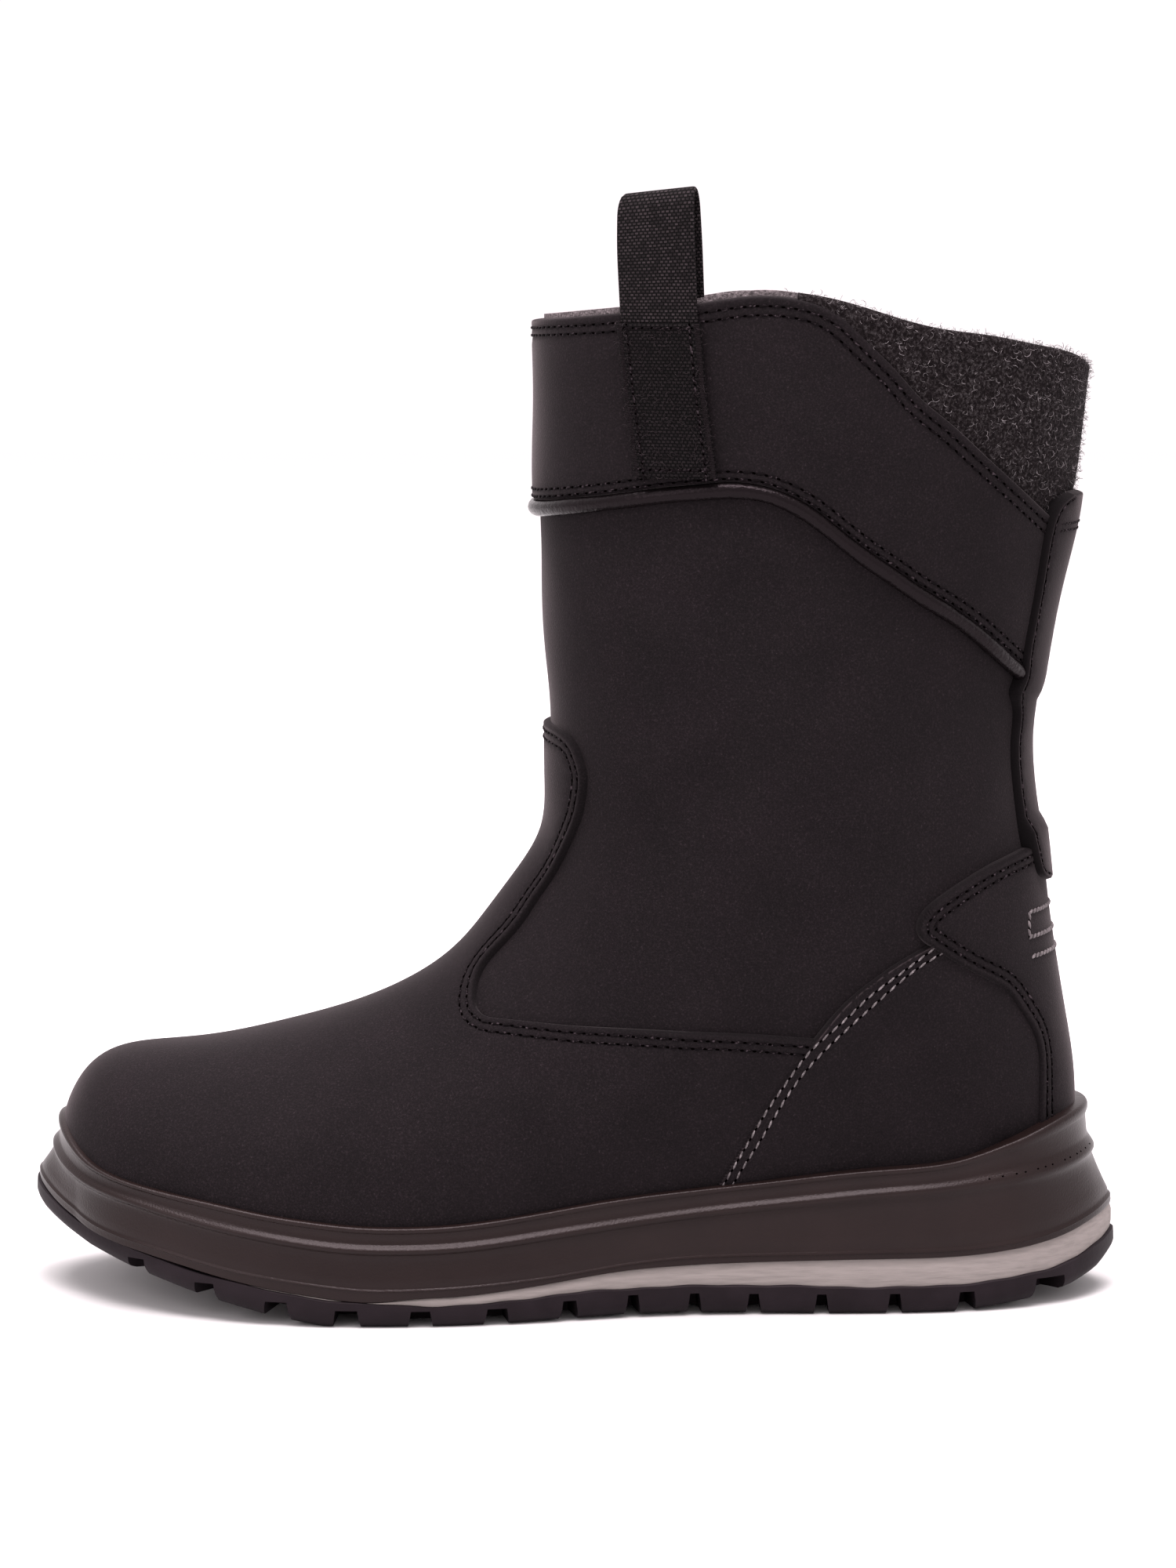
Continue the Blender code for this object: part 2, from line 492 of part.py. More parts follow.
def rim_start(s):
    """Height share where section s leaves the midsole's rim; 0 once its base is above it."""
    hits = crossings(s, LINES["rim"])
    return hits[0] + inset(s, RIM_CLEARANCE) if hits else 0.0


def add_vamp():
    """Toe and side panel: a full arch up to the notch, then a low strip each side and a tab up the front."""
    shell = Shell()
    low_count, tab_count = 6, 6
    notch, notch_h = NOTCH
    toe = list(TOE_ROWS) + [notch]
    split = {s: 0.45 + (notch_h - 0.45) * (s - toe[0]) / (notch - toe[0]) for s in toe}
    strip_end = locate(56.5, 70.6)[0]
    strip = [s for s in SIDE_ROWS if s < strip_end - 0.1] + [strip_end]
    tab_end = locate(-7.4, 148.4)[0]
    tab = [s for s in SIDE_ROWS + HEEL_ROWS if s < tab_end - 0.3] + [tab_end - 0.2, tab_end]
    for side in (0, 1):
        low, crown = [], []
        for s in toe:
            start = rim_start(s)
            middle = notch_h if s == notch else start + (1 - start) * split[s]
            if s == toe[0]:
                a0, a1 = share_at(s, side, start), share_at(s, side, middle)
                low += apron_rows(shell, s, side, np.linspace(a0, a1, low_count + 1))
                crown += apron_rows(shell, s, side, np.linspace(a1, 1, tab_count + 1))
            low.append(panel_row(shell, s, side, start, middle, low_count))
            crown.append(panel_row(shell, s, side, middle, 1, tab_count))
        for s in strip:
            front = [h + inset(s, 2 * EDGE_GAP) for h in crossings(s, LINES["foxing"])[:1]]
            start = max([rim_start(s)] + front)
            top = crossings(s, LINES["vamp_strip"])[0]
            low.append(panel_row(shell, s, side, start, max(top, start + inset(s, 0.8)), low_count))
        for s in tab:
            edge = crossings(s, LINES["vamp_tab"])
            crown.append(panel_row(shell, s, side, edge[-1] if edge else 0.98, 1, tab_count))
        for rows in (low, crown):
            shell.grid(rows if side == 0 else [r[::-1] for r in rows])
    return shell.build("vamp")


def add_foxing(name, side):
    """Sloping quarter panel between the rim, the counter and its own front edge, ruled in the side view."""
    shell = Shell()
    front = trimmed(LINES["foxing"], (36.4, 34.6), (86.0, 93.2), 13)
    back = trimmed(LINES["counter"], (116.1, 47.4), (89.4, 92.4), 13)
    across = np.linspace(0, 1, 9)
    rows = []
    for i, (f, b) in enumerate(zip(front, back)):
        fade = (1 - i / 12) ** 2
        run = (b - f) / np.linalg.norm(b - f) * EDGE_GAP
        row = []
        for k in across:
            x, z = f + run + (b - f - 2 * run) * k
            bottom = front[0] + (back[0] - front[0]) * k
            z += fade * (height_on(LINES["rim"], bottom[0]) + RIM_CLEARANCE - bottom[1])
            s, h = locate(x, z)
            a = share_at(s, side, h)
            row.append(shell.vertex(lifted(s, a, side, FOXING_OUT), lifted(s, a, side, VAMP_GAP)))
        rows.append(row)
    shell.grid(rows if side == 1 else [r[::-1] for r in rows])
    return shell.build(name)


def trimmed(line, start, end, count):
    """Evenly spaced points on a side-view line between the places nearest to start and end."""
    i = int(np.argmin(np.linalg.norm(line - np.array(start), axis=1)))
    j = int(np.argmin(np.linalg.norm(line - np.array(end), axis=1)))
    part = line[i:j + 1]
    along = np.concatenate(([0], np.cumsum(np.linalg.norm(np.diff(part, axis=0), axis=1))))
    at = np.linspace(0, along[-1], count)
    return np.stack([np.interp(at, along, part[:, k]) for k in (0, 1)], axis=1)


COUNTER_LEVELS = (47, 56, 64, 71, 77, 82, 86, 90, 94, 98, 102, 107, 112, 117.4)


def add_counter():
    """Moulded panel around the heel, in level rows from the rim up to its curved edge."""
    shell = Shell()
    shares = np.linspace(0, 1, 6)
    edge_line = LINES["counter"]
    rows = []
    for z in COUNTER_LEVELS:
        edge_x = float(np.interp(z, edge_line[:, 1], edge_line[:, 0])) + 0.3
        row = []
        for side, order in ((0, shares[::-1]), (1, shares[1:])):
            for share in order:
                low = height_on(LINES["rim"], 125.8 + (edge_x - 125.8) * share) + RIM_CLEARANCE
                s, a = back_place(max(z, low), share, side, edge_x)
                row.append(shell.vertex(lifted(s, a, side, COUNTER_OUT), lifted(s, a, side, VAMP_GAP)))
        rows.append(row)
    shell.grid([r[::-1] for r in rows])
    return shell.build("heel_counter")


def back_place(z, share, side, edge_x):
    """Section and arc share at height z, a share of the way from the back line to where x is edge_x."""
    low, high = float(CLOSED_FROM), float(LAST_SECTION)
    for _ in range(36):
        mid = (low + high) / 2
        if section(round(mid, 6))[0][1] < z:
            low = mid
        else:
            high = mid
    trail = []
    for s in np.linspace(low, max(low - 2.2, CLOSED_FROM), 60):
        base, top, _ = section(round(s, 6))[:3]
        h = max((z - base[1]) / (top[1] - base[1]), 0)
        a = share_at(s, side, h)
        trail.append((s, a, *bare_point(s, a, side)))
        if trail[-1][2] < edge_x - 3:
            break
    trail = np.array(trail)
    arc = np.concatenate(([0], np.cumsum(np.linalg.norm(np.diff(trail[:, 2:5], axis=0), axis=1))))
    edge = np.interp(-edge_x, -trail[:, 2], arc)
    return np.interp(edge * share, arc, trail[:, 0]), np.interp(edge * share, arc, trail[:, 1])


def add_stay():
    """Strip over the back seam, thick over the cuff and the counter and thin between them."""
    shell = Shell()
    shares = np.linspace(0, 1, 4)
    rows = []
    for z, edge_x, inner, outer in STAY:
        row = []
        for side, order in ((0, shares[::-1]), (1, shares[1:])):
            for share in order:
                s, a = back_place(z, share, side, edge_x - 1.2)
                row.append(shell.vertex(lifted(s, a, side, outer), lifted(s, a, side, inner)))
        rows.append(row)
    shell.grid([r[::-1] for r in rows])
    return shell.build("back_stay")


def stay_edge(z):
    """x of the stay's front edge at height z."""
    return float(np.interp(z, column(STAY, STAY_COLUMNS, "z"), column(STAY, STAY_COLUMNS, "edge_x")))


def band_place(a, side, low_line, top_line, share):
    """Section number at a share of the way between two lines on the column at arc share a."""
    low = solve_s(a, side, low_line, CLOSED_FROM - 6, LAST_SECTION)
    top = solve_s(a, side, top_line, CLOSED_FROM - 6, LAST_SECTION)
    return low + (top - low) * share


def band_end(side, low_line, top_line, share, reach):
    """Arc share at which a band's row meets reach(z), an x that the row may not pass."""
    low, high = 0.0, 0.9
    for _ in range(24):
        mid = (low + high) / 2
        x, _, z = bare_point(band_place(mid, side, low_line, top_line, share), mid, side)
        if x > reach(z):
            low = mid
        else:
            high = mid
    return high


def shifted(line, dz):
    """A side-view line moved up or down."""
    return line + np.array((0, dz))


def add_cuff():
    """Band around the top of the shaft, open at the back where the stay lies, on the upper's own columns."""
    shell = Shell()
    low, top = shifted(LINES["piping"], 0.2), LINES["cuff_top"]
    shares = np.linspace(0, 1, 5)
    ends = [[band_end(side, low, top, share, lambda z: stay_edge(z) - 2.2) for side in (0, 1)] for share in shares]
    corner = [band_end(0, low, top, 0, lambda z, x=x: x) for x in (49.0, 56.0)] + list(felt_front(0))
    columns = sorted([a for a in UPPER_COLUMNS if a > np.max(ends) + 0.01] + corner)
    rows = []
    for share, end in zip(shares, ends):
        row = []
        for side, order in ((0, [end[0]] + columns), (1, columns[-2::-1] + [end[1]])):
            for a in order:
                s = band_place(a, side, low, top, share)
                row.append(shell.vertex(lifted(s, a, side, CUFF_OUT), lifted(s, a, side, LAYER_GAP)))
        rows.append(row)
    shell.grid(rows)
    return shell.build("cuff")


def add_piping():
    """Padded cord under the cuff's lower edge."""
    line = shifted(LINES["piping"], -PIPING_RADIUS - 1.4)
    sides, path = 6, []
    for side, order in ((0, np.linspace(0, 1, 17)), (1, np.linspace(1, 0, 17)[1:])):
        end = band_end(side, line, LINES["cuff_top"], 0, lambda z: stay_edge(z) - 2.4)
        for k in order:
            a = end + (1 - end) * k
            s = solve_s(a, side, line, CLOSED_FROM - 6, LAST_SECTION)
            path.append((lifted(s, a, side, LAYER_GAP + PIPING_RADIUS), outward(s, a, side)))
    points, faces = [], []
    for i, (centre, out) in enumerate(path):
        run = path[min(i + 1, len(path) - 1)][0] - path[max(i - 1, 0)][0]
        run /= np.linalg.norm(run)
        across = np.cross(run, out)
        for k in range(sides):
            turn = 2 * math.pi * k / sides
            points.append(centre + PIPING_RADIUS * (math.cos(turn) * out + math.sin(turn) * across))
    for i in range(len(path) - 1):
        for k in range(sides):
            n = (k + 1) % sides
            faces.append([i * sides + k, i * sides + n, (i + 1) * sides + n, (i + 1) * sides + k])
    faces.append(list(range(sides)))
    faces.append([(len(path) - 1) * sides + k for k in range(sides)])
    return make_object("cuff_piping", points, faces)


def felt_front(side):
    """Arc shares of the felt's front corner and of one column behind it."""
    low, top = shifted(LINES["upper_top"], TOP_CLEARANCE), LINES["felt_top"]
    return [band_end(side, low, top, 0.0, lambda z, x=x: x) for x in (57.0, 63.5)]


def add_felt():
    """Felt that stands above the cuff around the back, on the upper's own columns."""
    shell = Shell()
    low, top = shifted(LINES["upper_top"], TOP_CLEARANCE), LINES["felt_top"]
    fronts = [felt_front(side)[0] for side in (0, 1)]
    columns = sorted([a for a in UPPER_COLUMNS if a < min(fronts) - 0.01] + [felt_front(0)[1]])
    rows = []
    for share in np.linspace(0, 1, 4):
        row = []
        for side, order in ((0, [fronts[0]] + columns[::-1]), (1, columns[1:] + [fronts[1]])):
            for a in order:
                s = band_place(a, side, low, top, share)
                row.append(shell.vertex(lifted(s, a, side, FELT_OUT), lifted(s, a, side, FELT_IN)))
        rows.append(row)
    shell.grid([r[::-1] for r in rows])
    return shell.build("felt_collar")


def add_loop():
    """Folded webbing: outer ply sewn on the cuff, fold above the rim, inner ply inside the shaft."""
    heights, centres = zip(*LOOP_CENTRE)
    top_z = 247.5
    columns = 2
    middle = smooth_line(LOOP_PATH, 24)
    step = np.gradient(middle, axis=0)
    step /= np.linalg.norm(step, axis=1)[:, None]
    faces = []
    points = []
    for layer in (0, 1):
        for (out, z), (run_out, run_z) in zip(middle, step):
            shift = layer * STRAP_THICKNESS
            n, level = out + run_z * shift, z - run_out * shift
            for k in range(columns + 1):
                x = np.interp(z, heights, centres) + STRAP_WIDTH * (k / columns - 0.5)
                s, h = locate(x, min(level, top_z))
                a = share_at(s, 0, h)
                wall = bare_point(s, a, 0) + n * outward(s, a, 0)
                points.append((wall[0], wall[1], level))
    width, count = columns + 1, len(middle)
    size = width * count
    rows = [[i * width + k for k in range(width)] for i in range(count)]
    for lower, upper in zip(rows[:-1], rows[1:]):
        for k in range(columns):
            faces.append([lower[k], lower[k + 1], upper[k + 1], upper[k]])
            faces.append([size + upper[k], size + upper[k + 1], size + lower[k + 1], size + lower[k]])
        faces.append([lower[0], upper[0], size + upper[0], size + lower[0]])
        faces.append([upper[-1], lower[-1], size + lower[-1], size + upper[-1]])
    for k in range(columns):
        faces.append([rows[0][k + 1], rows[0][k], size + rows[0][k], size + rows[0][k + 1]])
        faces.append([rows[-1][k], rows[-1][k + 1], size + rows[-1][k + 1], size + rows[-1][k]])
    return make_object("pull_loop", points, faces)


# Sole: everything is read along rays from a spine, so that the layers follow each other
TOE_CENTRE = (-92.0, 4.0)
HEEL_CENTRE = (100.0, 0.0)
SIDE_X = (84, 68, 52, 36, 20, 5, -9, -21, -32, WEDGE_FRONT_X, -56, -69, -79, -87)


def make_rays():
    """Spine point and direction of each ray, around the sole from the heel over the outer side."""
    def spine_y(x):
        return float(np.interp(x, (TOE_CENTRE[0], HEEL_CENTRE[0]), (TOE_CENTRE[1], HEEL_CENTRE[1])))

    rays = [(HEEL_CENTRE, -math.pi / 2 * k / 7) for k in range(8)]
    rays += [((x, spine_y(x)), -math.pi / 2) for x in SIDE_X]
    rays += [(TOE_CENTRE, -math.pi / 2 - math.pi * k / 16) for k in range(17)]
    rays += [((x, spine_y(x)), math.pi / 2) for x in reversed(SIDE_X)]
    rays += [(HEEL_CENTRE, math.pi / 2 - math.pi / 2 * k / 7) for k in range(7)]
    return [(np.array(c), np.array((math.cos(t), math.sin(t)))) for c, t in rays]


def reach(curve, centre, direction):
    """Distance along a ray to a closed plan curve."""
    start = curve - centre
    step = np.roll(curve, -1, axis=0) - curve
    det = direction[0] * step[:, 1] - direction[1] * step[:, 0]
    det = np.where(np.abs(det) < 1e-12, 1e-12, det)
    along = (start[:, 0] * step[:, 1] - start[:, 1] * step[:, 0]) / det
    k = (start[:, 0] * direction[1] - start[:, 1] * direction[0]) / det
    hits = along[(k >= -1e-9) & (k <= 1 + 1e-9) & (along > 0)]
    return float(hits.max())


def plan_outline():
    """Dense closed outline of the sole at its widest."""
    points = list(OUTLINE_LAT) + list(OUTLINE_MED)
    wrapped = np.array(points[-4:] + points + points[:5], float)
    along = np.concatenate(([0], np.cumsum(np.linalg.norm(np.diff(wrapped, axis=0), axis=1))))
    curve = Spline(along, wrapped)
    return np.array([curve(v) for v in np.linspace(along[4], along[4 + len(points)], 500)[:-1]])


def feather(x):
    """Height of the upper's lower edge at x."""
    low = [s for s in range(CLOSED_FROM + 1)]
    xs = [SECTIONS[0][1]] + [SECTIONS[s][3] for s in low]
    zs = [SECTIONS[0][2]] + [SECTIONS[s][4] for s in low]
    return float(np.interp(x, xs, zs))


def floor_height(x):
    """Height of the cup's floor at x; at the heel it stays level below the rising feather line."""
    return min(feather(x), feather(HEEL_CENTRE[0]) + 0.4) if x > HEEL_CENTRE[0] else feather(x)


def level_height(x, share):
    """Height at x of the line a share of the way from the feather line to the rim."""
    return feather(x) + share * (height_on(LINES["rim"], x) - feather(x))


def level_end(share, inside, outside):
    """x at which a level line meets the silhouette, between one x inside it and one outside."""
    for _ in range(40):
        mid = (inside + outside) / 2
        if 0 <= front_share(mid, level_height(mid, share)) <= 1:
            inside = mid
        else:
            outside = mid
    return inside


def level_curve(share):
    """Closed plan curve on the bare surface at a share of the way from the feather line to the rim."""
    halves = []
    for side in (0, 1):
        if share == 0:
            half = [bare_point(0, a, side)[:2] for a in np.linspace(1, 0, 90)[:-1]]
            half += [bare_point(s, 0, side)[:2] for s in np.linspace(0, CLOSED_FROM, 260)]
        else:
            front, back = level_end(share, -100.0, -140.0), level_end(share, 100.0, 132.0)
            half = []
            for turn in np.linspace(0, math.pi, 300):
                x = front + (back - front) * (1 - math.cos(turn)) / 2
                s, h = locate(x, level_height(x, share))
                half.append(bare_point(s, share_at(s, side, h), side)[:2])
        halves.append(half)
    return np.array(halves[0] + halves[1][::-1])


RAYS = make_rays()
OUTLINE = plan_outline()
SOLE = Spline(column(SOLE_LINES, SOLE_COLUMNS, "x"), [row[1:] for row in SOLE_LINES])


def sole_lines(x):
    """The sole's named lines at x on the outline."""
    lines = dict(zip(SOLE_COLUMNS[1:], SOLE(float(np.clip(x, SOLE_LINES[0][0], SOLE_LINES[-1][0])))))
    lines["ground"] = float(np.interp(x, column(SOLE_LINES, SOLE_COLUMNS, "x"), column(SOLE_LINES, SOLE_COLUMNS, "ground")))
    return lines


def ray_edges():
    """For each ray: its spine, direction, distance to the outline and the sole's lines there and at the spine."""
    edges = []
    for centre, direction in RAYS:
        far = reach(OUTLINE, centre, direction)
        edges.append((centre, direction, far, sole_lines((centre + direction * far)[0]), sole_lines(centre[0])))
    return edges


def ray_solid(name, profiles, keep=None):
    """Solid from one closed profile per ray; first and last points of a profile lie on the spine."""
    points, faces, keys, rows = [], [], {}, []
    for profile in profiles:
        row = []
        for p in profile:
            key = tuple(np.round(p, 3))
            if key not in keys:
                keys[key] = len(points)
                points.append(p)
            row.append(keys[key])
        rows.append(row)
    pairs = list(zip(rows, rows[1:] + rows[:1])) if keep is None else list(zip(rows, rows[1:]))
    for first, second in pairs:
        for j in range(len(first) - 1):
            face = []
            for v in (first[j], first[j + 1], second[j + 1], second[j]):
                if v not in face:
                    face.append(v)
            if len(face) > 2:
                faces.append(face)
    if keep is not None:
        faces.append(rows[0] + rows[-1][::-1][1:-1])
    return make_object(name, points, faces)


def layer_points(centre, direction, far, name, inset_mm=0.0, shift=0.0):
    """Points of one layer face along a ray, from the spine to the edge, at the named line's height."""
    points = []
    for k in (0, 0.5, 1):
        reach_mm = far * k if k < 1 else far - inset_mm
        p = centre + direction * reach_mm
        x = p[0] if k < 1 else (centre + direction * far)[0]
        points.append(np.array((*p, sole_lines(x)[name] + shift)))
    return points


def add_midsole():
    """Moulded cup sole: ribbed wall, rim around the upper, cup that follows the upper, flat floor."""
    curves = [(share, level_curve(share)) for share in CUP_LEVELS]
    profiles = []
    for centre, direction, far, lines, _ in ray_edges():
        inner = []
        for share, curve in curves:
            r = reach(curve, centre, direction)
            p = centre + direction * r
            inner.append((r + (LAYER_GAP if share == 1 else CUP_GAP), level_height(p[0], share)))
        rim_r, rim_z = inner[0][0] + lines["rim_width"], inner[0][1]
        heights = dict(lines, rim=rim_z)
        profile = layer_points(centre, direction, far, "midsole_bottom")[:-1]
        for low, high, blend, flare, proud in MIDSOLE_PROFILE:
            z = heights[low] + (heights[high] - heights[low]) * blend
            r = rim_r + (max(far, rim_r) - rim_r) * flare + proud
            profile.append(np.array((*(centre + direction * r), z)))
        for r, z in inner:
            profile.append(np.array((*(centre + direction * r), z)))
        floor_r = inner[-1][0]
        for k in (1.0, 0.0):
            p = centre + direction * floor_r * k
            profile.append(np.array((*p, floor_height(p[0]) - SOLE_GAP)))
        profiles.append(profile)
    return ray_solid("midsole", profiles)


def add_wedge():
    """Light foam layer between midsole and outsole, from the ball to the heel."""
    edges = ray_edges()
    start = next(i for i, e in enumerate(edges) if e[0][0] == WEDGE_FRONT_X)
    stop = next(i for i, e in enumerate(edges) if i > start and e[0][0] == WEDGE_FRONT_X)
    profiles = []
    for centre, direction, far, _, _ in edges[stop:] + edges[:start + 1]:
        low = layer_points(centre, direction, far, "outsole_top", 1.0, SOLE_GAP)
        high = layer_points(centre, direction, far, "midsole_bottom", 1.2, -SOLE_GAP)
        profiles.append(low + high[::-1])
    return ray_solid("wedge", profiles, keep=True)


def add_outsole(cutters):
    """Rubber slab with toe bumper, cut by the lug gaps and the tread bars."""
    profiles = []
    for centre, direction, far, _, _ in ray_edges():
        low = layer_points(centre, direction, far, "ground", 2.2)
        edge = centre + direction * far
        lines = sole_lines(edge[0])
        shoulder = np.array((*edge, lines["ground"] + 2.6))
        top_edge = np.array((*(centre + direction * (far - 0.2)), lines["outsole_top"]))
        high = layer_points(centre, direction, far, "outsole_top")[:-1]
        profiles.append(low + [shoulder, top_edge] + high[::-1])
    outsole = ray_solid("outsole", profiles)
    boxes = gap_boxes() + bar_boxes()
    points, faces = [], []
    for corners in boxes:
        start = len(points)
        points += corners
        faces += [[start + v for v in f] for f in ((0, 1, 2, 3), (7, 6, 5, 4), (0, 4, 5, 1), (1, 5, 6, 2),
                                                   (2, 6, 7, 3), (3, 7, 4, 0))]
    cutter = make_object("lug_gap_cutter", points, faces)
    cutter.hide_render = True
    cutter.display_type = "WIRE"
    cutters.objects.link(cutter)
    cut = outsole.modifiers.new("lug gaps", "BOOLEAN")
    cut.operation = "DIFFERENCE"
    cut.solver = "EXACT"
    cut.object = cutter
    return outsole


def box_corners(centre, direction, near, far, width, bottom, top):
    """Corners of an upright box that runs along a plan direction."""
    across = np.array((-direction[1], direction[0])) * width / 2
    plan = [centre + direction * near - across, centre + direction * far - across,
            centre + direction * far + across, centre + direction * near + across]
    return [np.array((*p, z)) for z in (bottom, top) for p in plan]


def gap_boxes():
    """Boxes that cut the gaps between the lugs along both edges."""
    boxes = []
    turned = np.roll(OUTLINE, -1, axis=0) - np.roll(OUTLINE, 1, axis=0)
    normals = np.stack((turned[:, 1], -turned[:, 0]), axis=1)
    normals /= np.linalg.norm(normals, axis=1)[:, None]
    if np.dot(normals[0], OUTLINE[0] - OUTLINE.mean(axis=0)) < 0:
        normals = -normals
    for x, width, depth in LUG_GAPS:
        for sign in (-1, 1):
            pick = [i for i, p in enumerate(OUTLINE) if (p[1] - 4) * sign > 0]
            i = min(pick, key=lambda n: abs(OUTLINE[n][0] - x))
            ground = sole_lines(x)["ground"]
            boxes.append(box_corners(OUTLINE[i], normals[i], -GAP_REACH, 6, width, -12, ground + depth))
    return boxes


def bar_boxes():
    """Boxes that cut the tread bars across the middle of the forefoot and heel."""
    width, length, depth = TREAD_BAR_SIZE
    boxes = []
    for x in TREAD_BARS:
        half = length / 2 if x < 0 else length / 2 - 6
        ground = sole_lines(x)["ground"]
        boxes.append(box_corners(np.array((float(x), 0.0)), np.array((0.0, 1.0)), -half, half, width, -12, ground + depth))
    return boxes


def add_insole():
    """Footbed inside the upper, on the midsole's floor."""
    curve = level_curve(0)
    profiles = []
    for centre, direction, _, _, _ in ray_edges():
        r = reach(curve, centre, direction) - WALL - INSOLE_CLEARANCE
        low, high = [], []
        for k in (0, 1):
            p = centre + direction * r * k
            low.append(np.array((*p, floor_height(p[0]))))
            high.append(np.array((*p, floor_height(p[0]) + INSOLE_THICKNESS)))
        profiles.append(low + high[::-1])
    return ray_solid("insole", profiles)


def main():
    """Clear the scene and build every sub-part into its collection."""
    for old in list(bpy.data.objects):
        bpy.data.objects.remove(old)
    parts = bpy.data.collections.new(OBJECT_NAME)
    cutters = bpy.data.collections.new("cutters")
    for group in (parts, cutters):
        bpy.context.scene.collection.children.link(group)
    made = [add_outsole(cutters), add_wedge(), add_midsole(), add_insole(), add_upper(), add_vamp(),
            add_foxing("foxing_outer", 0), add_foxing("foxing_inner", 1), add_counter(), add_stay(), add_cuff(),
            add_piping(), add_felt(), add_loop()]
    for part in made:
        parts.objects.link(part)


main()
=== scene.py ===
"""Dressed model of the insulated boot, laid out as a Blender add-on.

Frame and tables are those of the part's source: millimetres, toe at -X, outer side at -Y, sole on z = 0.
The upper's form is a family of sections. A place on it is a section number s and a turn u: u is 0 at the
base or back, 1 at the crown and 2 at the base again, and runs over the outer side first.
"""
import math
from functools import partial

import bmesh
import bpy
import numpy as np
from bpy.props import FloatProperty, FloatVectorProperty, IntProperty, PointerProperty
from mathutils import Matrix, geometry, kdtree


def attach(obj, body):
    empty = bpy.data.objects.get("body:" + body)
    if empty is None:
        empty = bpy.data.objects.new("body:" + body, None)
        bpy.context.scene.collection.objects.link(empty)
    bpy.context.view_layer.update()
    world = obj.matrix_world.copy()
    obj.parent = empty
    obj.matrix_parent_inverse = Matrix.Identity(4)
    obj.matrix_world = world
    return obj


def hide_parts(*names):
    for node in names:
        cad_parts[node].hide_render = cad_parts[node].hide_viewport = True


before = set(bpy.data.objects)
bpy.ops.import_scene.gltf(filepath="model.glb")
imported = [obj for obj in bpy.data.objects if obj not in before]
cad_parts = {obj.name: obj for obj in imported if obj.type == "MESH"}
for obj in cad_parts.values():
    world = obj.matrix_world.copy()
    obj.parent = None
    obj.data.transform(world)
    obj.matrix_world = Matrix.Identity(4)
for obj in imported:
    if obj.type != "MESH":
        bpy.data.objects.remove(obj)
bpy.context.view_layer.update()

bl_info = {
    "name": "Insulated boot",
    "version": (1, 0, 0),
    "blender": (4, 5, 0),
    "location": "View3D > Sidebar > Boot",
    "description": "Builds the leather, felt, thread and sole of one winter boot on its CAD frame",
    "category": "Add Mesh",
}

MM = 0.001

